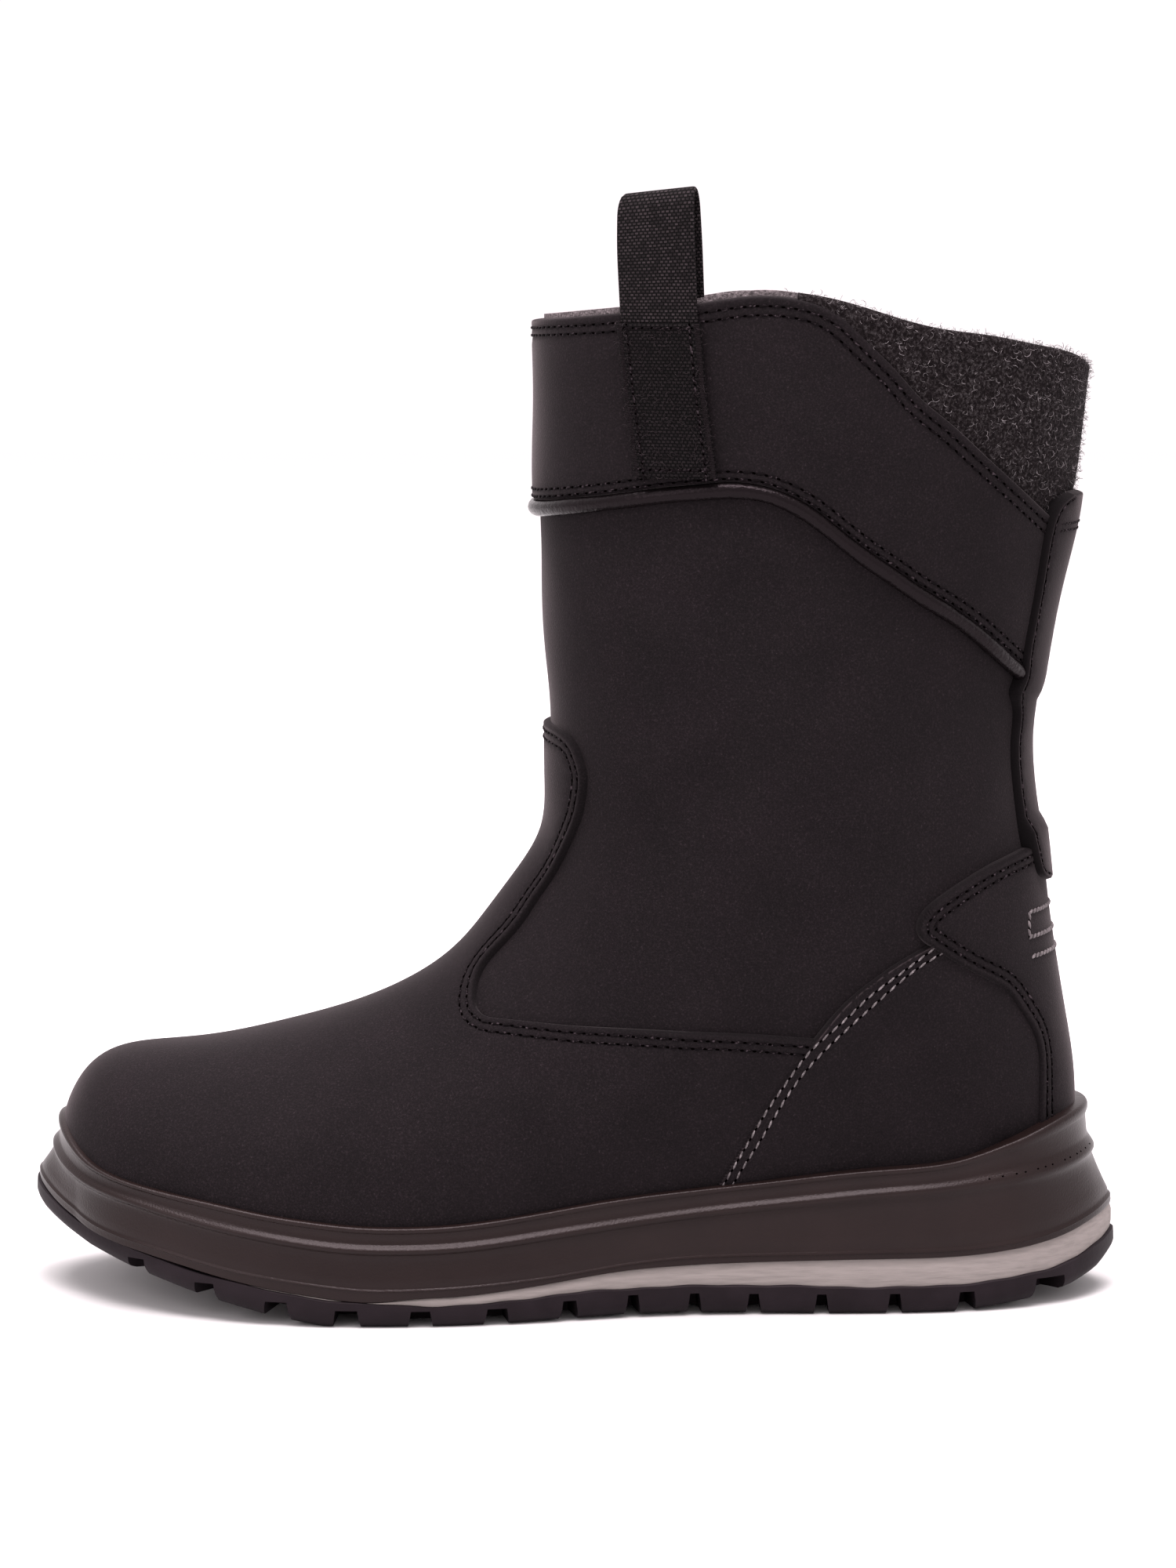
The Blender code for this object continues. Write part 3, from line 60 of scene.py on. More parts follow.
# Sections of the last, from the toe to the collar: name; x and z of the top and the base in the side view;
# half widths at the base, outer and inner; the widest ones, and where along the section that is; exponents
# of the curve below and above that; y of the top
SECTIONS = (
    ("toe_edge", -124.5, 25.0, -94.0, 21.5, 33.0, 37.5, 33.2, 37.7, 0.05, 2.0, 2.05, 7.0),
    ("toe_low", -128.8, 32.0, -93.0, 20.8, 34.0, 38.2, 34.2, 38.4, 0.05, 2.0, 2.05, 7.0),
    ("toe_mid", -130.4, 41.0, -91.0, 19.6, 35.0, 39.0, 35.3, 39.3, 0.05, 2.0, 2.1, 7.0),
    ("toe_high", -127.4, 50.4, -88.5, 18.4, 36.0, 39.8, 36.6, 40.3, 0.07, 2.0, 2.1, 7.0),
    ("toe_top", -119.4, 57.8, -85.0, 17.2, 37.3, 40.5, 38.6, 41.8, 0.12, 2.0, 2.15, 6.5),
    ("toe_box", -104.0, 60.5, -79.0, 15.6, 39.0, 41.0, 41.2, 43.4, 0.20, 2.0, 2.2, 5.5),
    ("ball_front", -84.9, 63.2, -69.0, 14.0, 41.0, 41.2, 43.7, 44.4, 0.27, 2.0, 2.15, 4.5),
    ("ball", -63.0, 69.0, -50.0, 13.0, 42.0, 39.6, 45.6, 43.6, 0.30, 2.0, 2.1, 4.0),
    ("instep_low", -42.5, 77.0, -26.0, 14.2, 40.2, 35.2, 44.6, 40.2, 0.30, 1.9, 2.0, 3.5),
    ("instep", -27.5, 88.3, -3.0, 16.8, 36.2, 30.0, 42.2, 37.6, 0.33, 1.6, 1.95, 3.0),
    ("instep_high", -16.5, 102.6, 20.0, 19.2, 31.6, 27.2, 40.6, 38.0, 0.38, 1.3, 1.95, 2.3),
    ("throat", -7.6, 117.0, 46.0, 21.0, 28.8, 26.4, 40.6, 39.6, 0.45, 1.1, 2.0, 1.6),
    ("heel_front", -5.8, 132.0, 74.0, 22.3, 27.2, 26.8, 41.6, 41.2, 0.52, 1.05, 2.15, 1.2),
    ("heel_seat", -6.3, 148.0, 98.0, 23.0, 25.4, 25.2, 42.6, 42.4, 0.57, 1.2, 2.25, 0.8),
    ("heel_round", -7.3, 162.0, 115.0, 23.6, 18.4, 18.2, 43.4, 43.4, 0.62, 1.5, 2.3, 0.6),
    ("heel_edge", -8.0, 173.5, 121.8, 25.4, 10.0, 10.0, 44.1, 44.3, 0.65, 1.8, 2.35, 0.5),
    ("heel_back", -8.4, 183.5, 124.8, 32.0, 0.0, 0.0, 44.8, 45.2, 0.66, 2.0, 2.4, 0.4),
    ("ankle_low", -8.6, 193.0, 125.5, 56.0, 0.0, 0.0, 45.6, 46.2, 0.64, 2.0, 2.4, 0.3),
    ("ankle", -8.7, 202.0, 120.6, 86.0, 0.0, 0.0, 46.8, 47.4, 0.61, 1.94, 2.4, 0.2),
    ("ankle_high", -8.7, 211.0, 117.2, 114.0, 0.0, 0.0, 48.0, 48.8, 0.59, 1.87, 2.4, 0.1),
    ("shaft_low", -8.7, 220.0, 114.9, 140.0, 0.0, 0.0, 49.4, 50.4, 0.57, 1.84, 2.4, 0.0),
    ("shaft_mid", -8.7, 229.5, 117.5, 167.0, 0.0, 0.0, 50.9, 52.0, 0.55, 1.87, 2.4, 0.0),
    ("shaft_high", -8.7, 239.0, 122.6, 191.0, 0.0, 0.0, 52.5, 53.8, 0.53, 1.93, 2.4, 0.0),
    ("collar_low", -8.7, 249.0, 126.3, 214.0, 0.0, 0.0, 54.1, 55.6, 0.52, 1.98, 2.4, 0.0),
    ("collar", -8.8, 264.0, 129.4, 245.0, 0.0, 0.0, 55.8, 57.4, 0.51, 2.0, 2.4, 0.0),
)
LAST_SECTION = len(SECTIONS) - 1
CLOSED_FROM = [row[0] for row in SECTIONS].index("heel_back")

# Side-view lines, x and z
CUFF_TOP = ((-14, 247.4), (-10, 247.7), (11, 249.4), (29.8, 251.7), (43.1, 253.5), (51.2, 253.2),
            (58.6, 251.5), (64.6, 248.1), (70.1, 243.0), (77.0, 236.2), (83.7, 228.9), (90.6, 223.2),
            (97.4, 217.2), (104.2, 211.1), (111.1, 204.9), (118.0, 198.8), (130, 188.0))
PIPING_LINE = ((-14, 202.1), (-10, 202.4), (-3, 203.5), (11, 205.7), (22, 207.4), (30.8, 208.3),
               (37.5, 208.8), (43.0, 208.5), (47.0, 207.7), (50.8, 206.3), (55.5, 203.8), (63.7, 197.6),
               (70.6, 192.2), (77.5, 187.4), (84.2, 182.7), (91.1, 178.3), (98.1, 173.1), (104.8, 167.0),
               (108.7, 163.5), (113.0, 159.5), (130, 144.0))
UPPER_TOP = CUFF_TOP[:15] + ((113.5, 204.6), (131, 204.6))
FELT_TOP = ((44, 254.8), (52.1, 254.1), (62.4, 252.4), (74.0, 249.1), (87.0, 245.6), (102.7, 243.4),
            (114.9, 241.1), (123.1, 239.3), (129.8, 236.2), (134, 234.0))
VAMP_TAB = ((-12, 146.0), (-7.0, 146.1), (-3.2, 145.7), (-0.1, 143.8), (2.1, 139.8), (3.3, 135.3),
            (3.1, 130.2), (2.1, 124.7), (0.3, 119.3), (-2.1, 113.8), (-5.3, 108.0), (-9.7, 101.8),
            (-13.6, 96.0), (-17.9, 90.7), (-21.7, 86.3), (-23.6, 83.2), (-24.4, 80.4), (-24.6, 78.0))
VAMP_STRIP = ((-24.6, 78.0), (-24.2, 75.9), (-22.6, 74.5), (-18.4, 73.9), (-10.6, 73.8), (-1.8, 73.5),
              (9.1, 73.3), (32.4, 72.6), (39.4, 72.2), (58.8, 70.7), (64, 70.2))
FOXING_EDGE = ((31, 25), (35.2, 33.3), (41.2, 43.4), (46.3, 51.9), (51.7, 60.0), (59.0, 70.1), (67.0, 79.7),
               (74.3, 86.0), (81.6, 90.9), (87.1, 93.7), (93, 96.5))
COUNTER_EDGE = ((116.2, 30.0), (116.1, 47.0), (116.1, 58.5), (115.5, 64.8), (113.8, 70.0), (110.6, 75.5),
                (106.9, 80.7), (100.6, 85.0), (91.8, 90.7), (87.4, 93.9), (84.9, 96.4), (84.5, 99.6),
                (85.8, 102.2), (89.9, 105.7), (96.1, 109.3), (102.2, 112.2), (110.8, 114.9), (120.0, 117.0))
# The back stay: height, front edge, and how far its face stands off the bare form
STAY = (
    (105.6, 117.4, 4.4), (107.5, 115.0, 4.4), (112.4, 113.2, 4.3), (119.0, 111.8, 4.1), (123.0, 111.2, 2.2),
    (129.3, 110.4, 2.1), (143.6, 109.5, 2.1), (152.1, 109.4, 2.3), (154.9, 108.6, 3.4), (158.0, 109.6, 3.7),
    (163.5, 110.4, 3.7), (171.8, 111.6, 3.7), (185.8, 113.6, 3.7), (196.3, 115.2, 3.7), (200.1, 116.4, 3.7),
    (203.4, 118.6, 3.6), (205.2, 121.6, 3.5),
)
RIM_LINE = ((-134, 48.0), (-131, 45.4), (-128.5, 42.9), (-125, 39.7), (-121, 36.8), (-115, 34.4),
            (-108, 32.8), (-98.5, 31.2), (-87, 29.4), (-76, 27.6), (-64, 26.1), (-55, 25.2), (-44, 24.8),
            (-31, 25.1), (-18, 26.4), (-5, 28.2), (8, 30.0), (21, 31.4), (36, 32.8), (54, 34.6), (76, 36.8),
            (92, 38.0), (99, 39.3), (106, 41.8), (114, 45.2), (120, 47.6), (125, 48.9), (131, 49.2))

# The sole's widest outline in plan, outer and inner side, and its lines by x along that outline
OUTLINE_LAT = ((139.0, 0.0), (137.6, -5.5), (134.0, -12.5), (127.0, -20.5), (117.0, -27.3), (105.0, -31.8),
               (91.0, -34.6), (72.0, -36.0), (53.0, -36.3), (33.0, -37.2), (13.0, -40.2), (-6.0, -45.0),
               (-25.0, -48.8), (-45.0, -50.5), (-64.4, -49.7), (-77.0, -47.5), (-89.5, -43.6),
               (-100.0, -38.8), (-111.7, -31.4), (-121.0, -23.4), (-128.5, -15.2), (-134.5, -6.8),
               (-138.3, 1.4))
OUTLINE_MED = ((-139.6, 10.0), (-138.2, 18.0), (-134.0, 26.0), (-128.0, 32.4), (-120.0, 38.2),
               (-110.0, 43.0), (-98.0, 46.6), (-85.0, 48.6), (-70.0, 49.2), (-55.0, 48.6), (-40.0, 46.4),
               (-22.0, 42.0), (-5.0, 37.6), (13.0, 34.6), (30.0, 33.4), (50.0, 33.8), (72.0, 34.8),
               (91.0, 34.0), (105.0, 31.4), (117.0, 27.0), (127.0, 20.3), (134.0, 12.4), (137.6, 5.5))
SOLE_COLUMNS = ("x", "ground", "outsole_top", "midsole_bottom", "low_line", "rib", "rim_width")
SOLE_LINES = (
    (-139.6, 21.5, 27.0, 27.3, 29.4, 37.4, 2.6), (-137.0, 19.8, 25.4, 25.7, 27.8, 36.2, 2.6),
    (-131.0, 17.0, 22.2, 22.5, 24.8, 34.0, 2.7), (-124.0, 14.2, 19.4, 19.7, 21.9, 31.9, 2.8),
    (-113.0, 11.1, 16.6, 16.9, 19.0, 29.4, 2.9), (-104.0, 8.9, 14.6, 14.9, 17.1, 27.4, 3.0),
    (-90.0, 5.5, 11.5, 11.8, 14.1, 24.5, 3.1), (-76.0, 2.4, 8.9, 9.2, 11.9, 22.2, 3.2),
    (-62.0, 0.0, 7.0, 7.3, 10.2, 20.3, 3.2), (-50.0, 0.0, 6.0, 6.3, 9.2, 19.5, 3.2),
    (-43.0, 0.0, 5.7, 6.9, 9.2, 19.4, 3.2), (-30.0, 0.0, 5.4, 7.5, 9.6, 19.7, 3.2),
    (-16.0, 0.2, 6.0, 8.7, 10.5, 21.0, 3.3), (-3.0, 0.6, 7.0, 10.3, 11.7, 22.6, 3.4),
    (10.0, 0.8, 7.6, 11.9, 13.3, 24.1, 3.5), (24.0, 0.8, 7.8, 12.8, 14.6, 25.7, 3.6),
    (42.0, 0.4, 7.6, 13.4, 15.2, 27.6, 3.8), (60.0, 0.0, 7.2, 13.8, 15.4, 29.3, 4.0),
    (78.0, 0.0, 7.0, 14.1, 15.7, 31.0, 4.2), (96.0, 0.0, 7.2, 14.3, 15.9, 32.3, 4.4),
    (105.0, 0.8, 7.6, 14.8, 16.4, 33.3, 4.6), (117.0, 2.2, 8.9, 16.2, 17.9, 34.8, 4.8),
    (127.0, 4.0, 11.0, 18.3, 20.1, 36.1, 4.9), (134.0, 6.3, 13.4, 20.4, 22.2, 37.1, 5.0),
    (139.0, 9.4, 15.4, 21.4, 23.8, 37.6, 5.0),
)
WEDGE_FRONT_X = -86.0
# Levels of the cup's inner wall, as shares of the way from the feather line to the rim
CUP_LEVELS = (1.0, 0.55, 0.2, 0.0)

# Gaps between the lugs along both edges: x on the outline, width, and depth above the ground line
LUG_GAPS = (
    (-110.0, 6.0, 2.9), (-92.0, 6.0, 3.2), (-74.0, 6.4, 3.6), (-56.0, 6.4, 3.9), (-38.0, 5.6, 3.7),
    (-19.0, 5.8, 3.7), (-1.0, 4.2, 4.3), (15.0, 3.4, 4.7), (30.0, 3.2, 4.7), (45.0, 3.2, 4.7),
    (62.0, 3.2, 4.8), (80.0, 3.4, 4.8), (98.5, 4.6, 4.6), (120.5, 9.6, 4.0),
)
# How far a gap reaches in from the edge, and how much further at the forefoot
GAP_REACH = 11.0
FOREFOOT_REACH = 5.0
FOREFOOT_X = -50
# Tread bars across the middle by x; their width, length and depth; how much shorter a half is at the heel
TREAD_BARS = (-84, -66, -48, -30, 48, 64, 80)
TREAD_BAR_SIZE = (4.0, 34.0, 3.0)
HEEL_BAR_SHORTER = 6

# The pull loop's path, as distance out from the shaft's wall and height, and its middle by height
LOOP_PATH = ((2.25, 209.6), (2.25, 222.0), (2.25, 236.0), (2.25, 248.0), (2.3, 256.0), (2.2, 266.0),
             (1.6, 273.0), (0.4, 277.2), (-1.0, 278.4), (-2.4, 277.2), (-3.5, 273.0), (-4.0, 266.0),
             (-4.0, 256.0), (-4.0, 247.0), (-4.0, 236.0), (-4.0, 224.0))
LOOP_CENTRE = ((205, 25.8), (212, 25.4), (230, 23.2), (249, 21.6), (279, 20.3))
STRAP_WIDTH = 17.6
STRAP_THICKNESS = 1.3
# How much the loop's top slants, from which height and over how much of it; up to where it follows the wall
LOOP_SLANT = 1.7
SLANT_FROM = 250.0
SLANT_OVER = 28.0
WALL_TOP = 247.5

# Heights of the leather layers off the bare form; the foxing rises further where it lies over the vamp
VAMP_OUT = 1.9
FOXING_OUT = 1.5
FOXING_RISE = 0.95
COUNTER_OUT = 2.6
CUFF_OUT = 1.9
WALL = 2.6
# How far hidden edges go down under the midsole's rim
HIDDEN = 3.0

# Corners and hidden edges of the panels in the side view
FRONT_X = -14
VAMP_CORNER = (61.5, 70.4)
VAMP_FOOT_X = (41.0, -138.0)
FOXING_FOOT = (33.0, 29.2)
FOXING_BACK = ((92.5, 96.2), (99, 91), (107, 86), (113, 78.5), (117.5, 70), (119.4, 58.5), (119.6, 44.5))
COUNTER_FOOT = (116.2, 43.0)
COUNTER_FOOT_X = (116.2, 131.0)
COUNTER_TOP = (122, 120)
CUFF_BACK = ((121.0, 196.1), (118.5, 180.0), (113.0, 159.5))

# Stitch rows: distances from the cut edge
VAMP_ROWS = (1.9, 4.0)
COUNTER_ROWS = (2.1, 4.0)
CUFF_TOP_ROWS = (2.4, 4.6)
CUFF_LOW_ROWS = (0.95, 2.75)
STAY_ROWS = (1.5,)
# How far a stitch is turned out of its row's direction
STITCH_SLANT = 0.15
# Outer face of the loop's lower half off the bare form; its patch: heights of the ends, half the width as
# a share of the strap's, rows of points, and width of the thin border
LOOP_FACE = 2.25 + STRAP_THICKNESS
PATCH_ENDS = (209.9, 247.2)
PATCH_HALF = 0.535
PATCH_ROWS = 70
PATCH_BORDER = 0.03

# Ends of the sole's spine
TOE_CENTRE = (-92.0, 4.0)
HEEL_CENTRE = (100.0, 0.0)
# Small step in s or u for slopes of the form
SMALL = 1e-3


class Spline:
    """Natural cubic spline through knots; values may be a vector per knot."""

    def __init__(self, knots, values):
        self.x = np.asarray(knots, float)
        self.y = np.asarray(values, float)
        step = np.diff(self.x)
        count = len(self.x)
        matrix = np.eye(count)
        right = np.zeros_like(self.y)
        for i in range(1, count - 1):
            matrix[i, i - 1:i + 2] = step[i - 1], 2 * (step[i - 1] + step[i]), step[i]
            change = (self.y[i + 1] - self.y[i]) / step[i] - (self.y[i] - self.y[i - 1]) / step[i - 1]
            right[i] = 6 * change
        self.bend = np.linalg.solve(matrix, right)

    def __call__(self, at):
        at = np.asarray(at, float)
        i = np.clip(np.searchsorted(self.x, at) - 1, 0, len(self.x) - 2)
        step = self.x[i + 1] - self.x[i]
        a = (self.x[i + 1] - at) / step
        b = (at - self.x[i]) / step
        if self.y.ndim > 1:
            a, b, step = a[..., None], b[..., None], step[..., None]
        return (a * self.y[i] + b * self.y[i + 1]
                + ((a ** 3 - a) * self.bend[i] + (b ** 3 - b) * self.bend[i + 1]) * step * step / 6)


def run_length(points):
    """Distance along a polyline at each of its points."""
    return np.concatenate(([0], np.cumsum(np.linalg.norm(np.diff(points, axis=0), axis=1))))


def smooth_line(points, count=500):
    """Dense smooth polyline through points, by distance along them."""
    points = np.asarray(points, float)
    along = run_length(points)
    return Spline(along, points)(np.linspace(0, along[-1], count))


def resampled(points, at, along):
    """Rows of an array read at given distances along it."""
    return np.stack([np.interp(at, along, points[:, k]) for k in range(points.shape[1])], axis=1)


def height_on(line, x):
    """z of a side-view line at x."""
    return np.interp(x, line[:, 0], line[:, 1])


class Last:
    """The bare form of the upper as a dense grid of points and normals."""

    ROWS = 40
    HALF = 320

    def __init__(self):
        numbers = np.array([row[1:] for row in SECTIONS])
        numbers[:, 4:6] **= 2
        self.at = np.linspace(0, LAST_SECTION, LAST_SECTION * self.ROWS + 1)
        table = Spline(range(len(SECTIONS)), numbers)(self.at)
        self.top, self.base = table[:, 0:2], table[:, 2:4]
        self.shares = np.linspace(0, 1, self.HALF + 1)
        self.heights = np.empty((len(self.at), 2, self.HALF + 1))
        self.points = np.empty((len(self.at), 2 * self.HALF + 1, 3))
        for i, row in enumerate(table):
            self.fill_row(i, row)
        along = np.gradient(self.points, axis=0)
        ends = (2 * self.points[:, :1] - self.points[:, 1:2],
                2 * self.points[:, -1:] - self.points[:, -2:-1])
        ring = np.concatenate((ends[0], self.points, ends[1]), axis=1)
        closed = self.at >= CLOSED_FROM
        ring[closed, 0] = self.points[closed, -2]
        ring[closed, -1] = self.points[closed, 1]
        self.normals = np.cross(along, ring[:, 2:] - ring[:, :-2])
        self.normals /= np.linalg.norm(self.normals, axis=2)[:, :, None]

    def fill_row(self, i, row):
        """Points of one section, evenly spaced along each side."""
        start_widths = np.sqrt(np.maximum(row[4:6], 0))
        if self.at[i] >= CLOSED_FROM:
            start_widths[:] = 0
        wide_at, low, high, crown = row[8:12]
        ray = self.top[i] - self.base[i]
        length = np.linalg.norm(ray)
        wide_at = max(wide_at, 0.02) * length
        turn = np.linspace(0, math.pi / 2, 241)
        height = np.concatenate((wide_at * (1 - np.cos(turn)),
                                 wide_at + (length - wide_at) * np.sin(turn[1:]) ** (2 / high)))
        for side, sign in ((0, -1), (1, 1)):
            wide = row[6 + side]
            lean = np.cos(turn) ** low
            lower = (wide ** low * (1 - lean) + start_widths[side] ** low * lean) ** (1 / low)
            upper = wide * np.maximum(np.cos(turn[1:]), 0) ** (2 / high)
            y = sign * np.concatenate((lower, upper)) + crown * (height / length) ** 2
            arc = run_length(np.stack((height, y), axis=1))
            h = np.interp(self.shares, arc / arc[-1], height) / length
            plan = self.base[i] + ray * h[:, None]
            points = np.stack((plan[:, 0], np.interp(self.shares, arc / arc[-1], y), plan[:, 1]), axis=1)
            self.heights[i, side] = h
            if side == 0:
                self.points[i, :self.HALF + 1] = points
            else:
                self.points[i, self.HALF:] = points[::-1]

    def sample(self, su):
        """Points and unit normals at places (s, u); u below 0 or above 2 goes on around the back."""
        s = np.clip(su[..., 0], 0, LAST_SECTION) * self.ROWS
        turn = np.where(su[..., 1] < 0, su[..., 1] + 2, np.where(su[..., 1] > 2, su[..., 1] - 2, su[..., 1]))
        u = turn * self.HALF
        i = np.minimum(s.astype(int), len(self.at) - 2)
        j = np.minimum(u.astype(int), 2 * self.HALF - 1)
        a, b = (s - i)[..., None], (u - j)[..., None]

        def mixed(grid):
            low = grid[i, j] * (1 - b) + grid[i, j + 1] * b
            high = grid[i + 1, j] * (1 - b) + grid[i + 1, j + 1] * b
            return low * (1 - a) + high * a

        normals = mixed(self.normals)
        return mixed(self.points), normals / np.linalg.norm(normals, axis=-1)[..., None]

    def find(self, points, side):
        """Places of side-view points on one side, and their shares of the height, not 0 to 1 off the form."""
        ray = self.top - self.base
        size = (ray ** 2).sum(axis=1)
        places, raw = np.empty((len(points), 2)), np.empty(len(points))
        for n, point in enumerate(points):
            from_base = point - self.base
            cross = ray[:, 0] * from_base[:, 1] - ray[:, 1] * from_base[:, 0]
            h = (from_base * ray).sum(axis=1) / size
            i = np.nonzero(cross[:-1] * cross[1:] <= 0)[0]
            t = cross[i] / (cross[i] - cross[i + 1] + 1e-30)
            height = h[i] + (h[i + 1] - h[i]) * t
            best = int(np.argmin(np.maximum(0, np.maximum(-height, height - 1))))
            i, t, raw[n] = i[best], t[best], height[best]
            table = self.heights[i, side] * (1 - t) + self.heights[i + 1, side] * t
            a = np.interp(raw[n], table, self.shares)
            places[n] = (i + t) / self.ROWS, a if side == 0 else 2 - a
        return places, raw


LAST = Last()

# Soft troughs and ridges where the leather has eased: middle x, y, z, length, width and
# height in millimetres, and the direction of the long axis in the side view in degrees
EASED = (
    (-12.0, -36.0, 96.0, 26.0, 7.0, -0.55, 118.0), (2.0, -40.0, 112.0, 22.0, 8.0, 0.45, 112.0),
    (30.0, -42.0, 128.0, 34.0, 10.0, -0.5, 15.0), (36.0, -44.0, 146.0, 40.0, 12.0, 0.4, 8.0),
    (92.0, -30.0, 134.0, 18.0, 8.0, -0.45, 60.0), (-72.0, -30.0, 58.0, 22.0, 9.0, -0.4, 20.0),
    (-14.0, 36.0, 96.0, 26.0, 7.0, -0.5, 115.0), (28.0, 42.0, 130.0, 36.0, 10.0, -0.5, 12.0),
    (90.0, 30.0, 136.0, 18.0, 8.0, -0.4, 62.0), (62.0, -46.0, 222.0, 30.0, 12.0, 0.5, 140.0),
)


# How far an easing reaches across the boot
EASED_REACH = 26.0


def soft_relief(p):
    """Slight waviness of lasted leather and its listed easings, in millimetres."""
    x, y, z = p[..., 0], p[..., 1], p[..., 2]
    relief = 0.16 * np.sin(x / 9.1 + z / 14.3 + 0.7) * np.sin(z / 11.7 - y / 16.0 + 1.9)
    relief += 0.10 * np.sin(x / 5.3 - z / 6.1 + y / 9.0)
    for cx, cy, cz, length, width, height, turn in EASED:
        c, s = math.cos(math.radians(turn)), math.sin(math.radians(turn))
        along = ((x - cx) * c + (z - cz) * s) / length
        across = ((z - cz) * c - (x - cx) * s) / width
        near = np.exp(-((y - cy) / EASED_REACH) ** 2)
        relief += height * near * np.exp(-along ** 2 - across ** 2)
    return relief


def on_last(su, lift=0.0):
    """Points off the bare form, waviness included; the height may be a function of the bare points."""
    points, normals = LAST.sample(su)
    height = lift(points) if callable(lift) else np.asarray(lift)
    return points + normals * (height + soft_relief(points))[..., None]


def trace(line, side):
    """Places of the part of a side-view line on the form, with its ends on the crown or the back line."""
    places, h = LAST.find(line, side)
    on = np.nonzero((h > 0) & (h < 1))[0]
    kept = [places[i] for i in on]
    for inner, outer, at in ((on[0], on[0] - 1, 0), (on[-1], on[-1] + 1, len(kept))):
        if 0 <= outer < len(line):
            limit = 1.0 if h[outer] >= 1 else 0.0
            t = (limit - h[inner]) / (h[outer] - h[inner])
            s = places[inner][0] + (places[outer][0] - places[inner][0]) * t
            u = 1.0 if limit == 1.0 else 2.0 * side
            kept.insert(at, np.array((s, u)))
    return np.array(kept)


def around_back(su):
    """The same places with the inner side's turns below 0, so that there is no jump at the back line."""
    turned = su.copy()
    turned[turned[:, 1] > 1, 1] -= 2
    return turned


def even(su, step):
    """Places spaced evenly along a run on the form."""
    along = run_length(LAST.sample(su)[0])
    count = max(int(round(along[-1] / step)), 1)
    return resampled(su, np.linspace(0, along[-1], count + 1), along)


def slopes(su):
    """Differences of the form's points over twice the small step in s and in u."""
    return [LAST.sample(su + step)[0] - LAST.sample(su - step)[0] for step in SMALL * np.eye(2)]


def moved_aside(su, distance):
    """A run on the form moved sideways over it; positive is to the left of its direction in (u, s)."""
    step = np.gradient(su, axis=0)
    along_s, along_u = (slope / (2 * SMALL) for slope in slopes(su))
    e, f, g = (along_s ** 2).sum(1), (along_s * along_u).sum(1), (along_u ** 2).sum(1)
    aside = np.stack((f * step[:, 0] + g * step[:, 1], -e * step[:, 0] - f * step[:, 1]), axis=1)
    length = np.sqrt(e * aside[:, 0] ** 2 + 2 * f * aside[:, 0] * aside[:, 1] + g * aside[:, 1] ** 2)
    return su + aside / length[:, None] * distance


def tree_of(points):
    """Nearest-point tree."""
    tree = kdtree.KDTree(len(points))
    for i, p in enumerate(points):
        tree.insert(p, i)
    tree.balance()
    return tree


def distances(tree, points):
    """Distance of each point to the nearest point of a tree."""
    return np.array([tree.find(p)[2] for p in points])


def inside(points, loop):
    """Which plane points lie in a closed polygon."""
    x, y = points[:, 0][:, None], points[:, 1][:, None]
    x0, y0 = loop[:, 0], loop[:, 1]
    x1, y1 = np.roll(x0, -1), np.roll(y0, -1)
    with np.errstate(divide="ignore", invalid="ignore"):
        crossing = ((y0 > y) != (y1 > y)) & (x < (x1 - x0) * (y - y0) / (y1 - y0) + x0)
    return crossing.sum(axis=1) % 2 == 1


LINES = {name: smooth_line(points) for name, points in (
    ("cuff_top", CUFF_TOP), ("piping", PIPING_LINE), ("felt_top", FELT_TOP), ("foxing", FOXING_EDGE),
    ("counter", COUNTER_EDGE), ("rim", RIM_LINE), ("vamp", VAMP_TAB + VAMP_STRIP[1:]))}
LINES["upper_top"] = np.array(UPPER_TOP, float)


def back_x(z):
    """x of the back line at height z."""
    closed = LAST.at >= CLOSED_FROM
    return np.interp(z, LAST.base[closed, 1], LAST.base[closed, 0])


def level_run(z, edge_x, side, rise=0.0):
    """Places on a level or slightly rising line from a front edge to the back line."""
    turn = np.sin(np.linspace(0, math.pi / 2, 40))
    x = edge_x + (back_x(z + rise) - edge_x) * turn
    run = LAST.find(np.stack((x, z + rise * turn), axis=1), side)[0]
    run[-1, 1] = 2.0 * side
    return around_back(run)


def across_back(z, edge_x, rise=0.0):
    """Places on a line around the back, from its edge on the outer side to the one on the inner side."""
    outer, inner = (level_run(z, edge_x, side, rise) for side in (0, 1))
    return np.concatenate((outer, inner[::-1][1:]))


def linear(hex_colour):
    """Linear RGBA of an sRGB hex value."""
    parts = [int(hex_colour[i:i + 2], 16) / 255 for i in (1, 3, 5)]
    return (*[v / 12.92 if v <= 0.04045 else ((v + 0.055) / 1.055) ** 2.4 for v in parts], 1.0)


def add_node(tree, kind, inputs=None, stops=(), to=None, **settings):
    """A node with its settings and links: an input is a value or the socket that feeds it.

    Stops are the marks of a ramp, and to is a socket that the node's own output feeds.
    """
    node = tree.nodes.new(kind)
    if stops:
        marks = node.color_ramp.elements
        marks[0].position, marks[0].color = stops[0]
        marks[-1].position, marks[-1].color = stops[-1]
        for place, colour in stops[1:-1]:
            marks.new(place).color = colour
    for name, value in settings.items():
        setattr(node, name, value)
    for name, value in (inputs or {}).items():
        if isinstance(value, bpy.types.NodeSocket):
            tree.links.new(value, node.inputs[name])
        else:
            node.inputs[name].default_value = value
    if to is not None:
        tree.links.new(next(socket for socket in node.outputs if socket.enabled), to)
    return node


# Making meshes

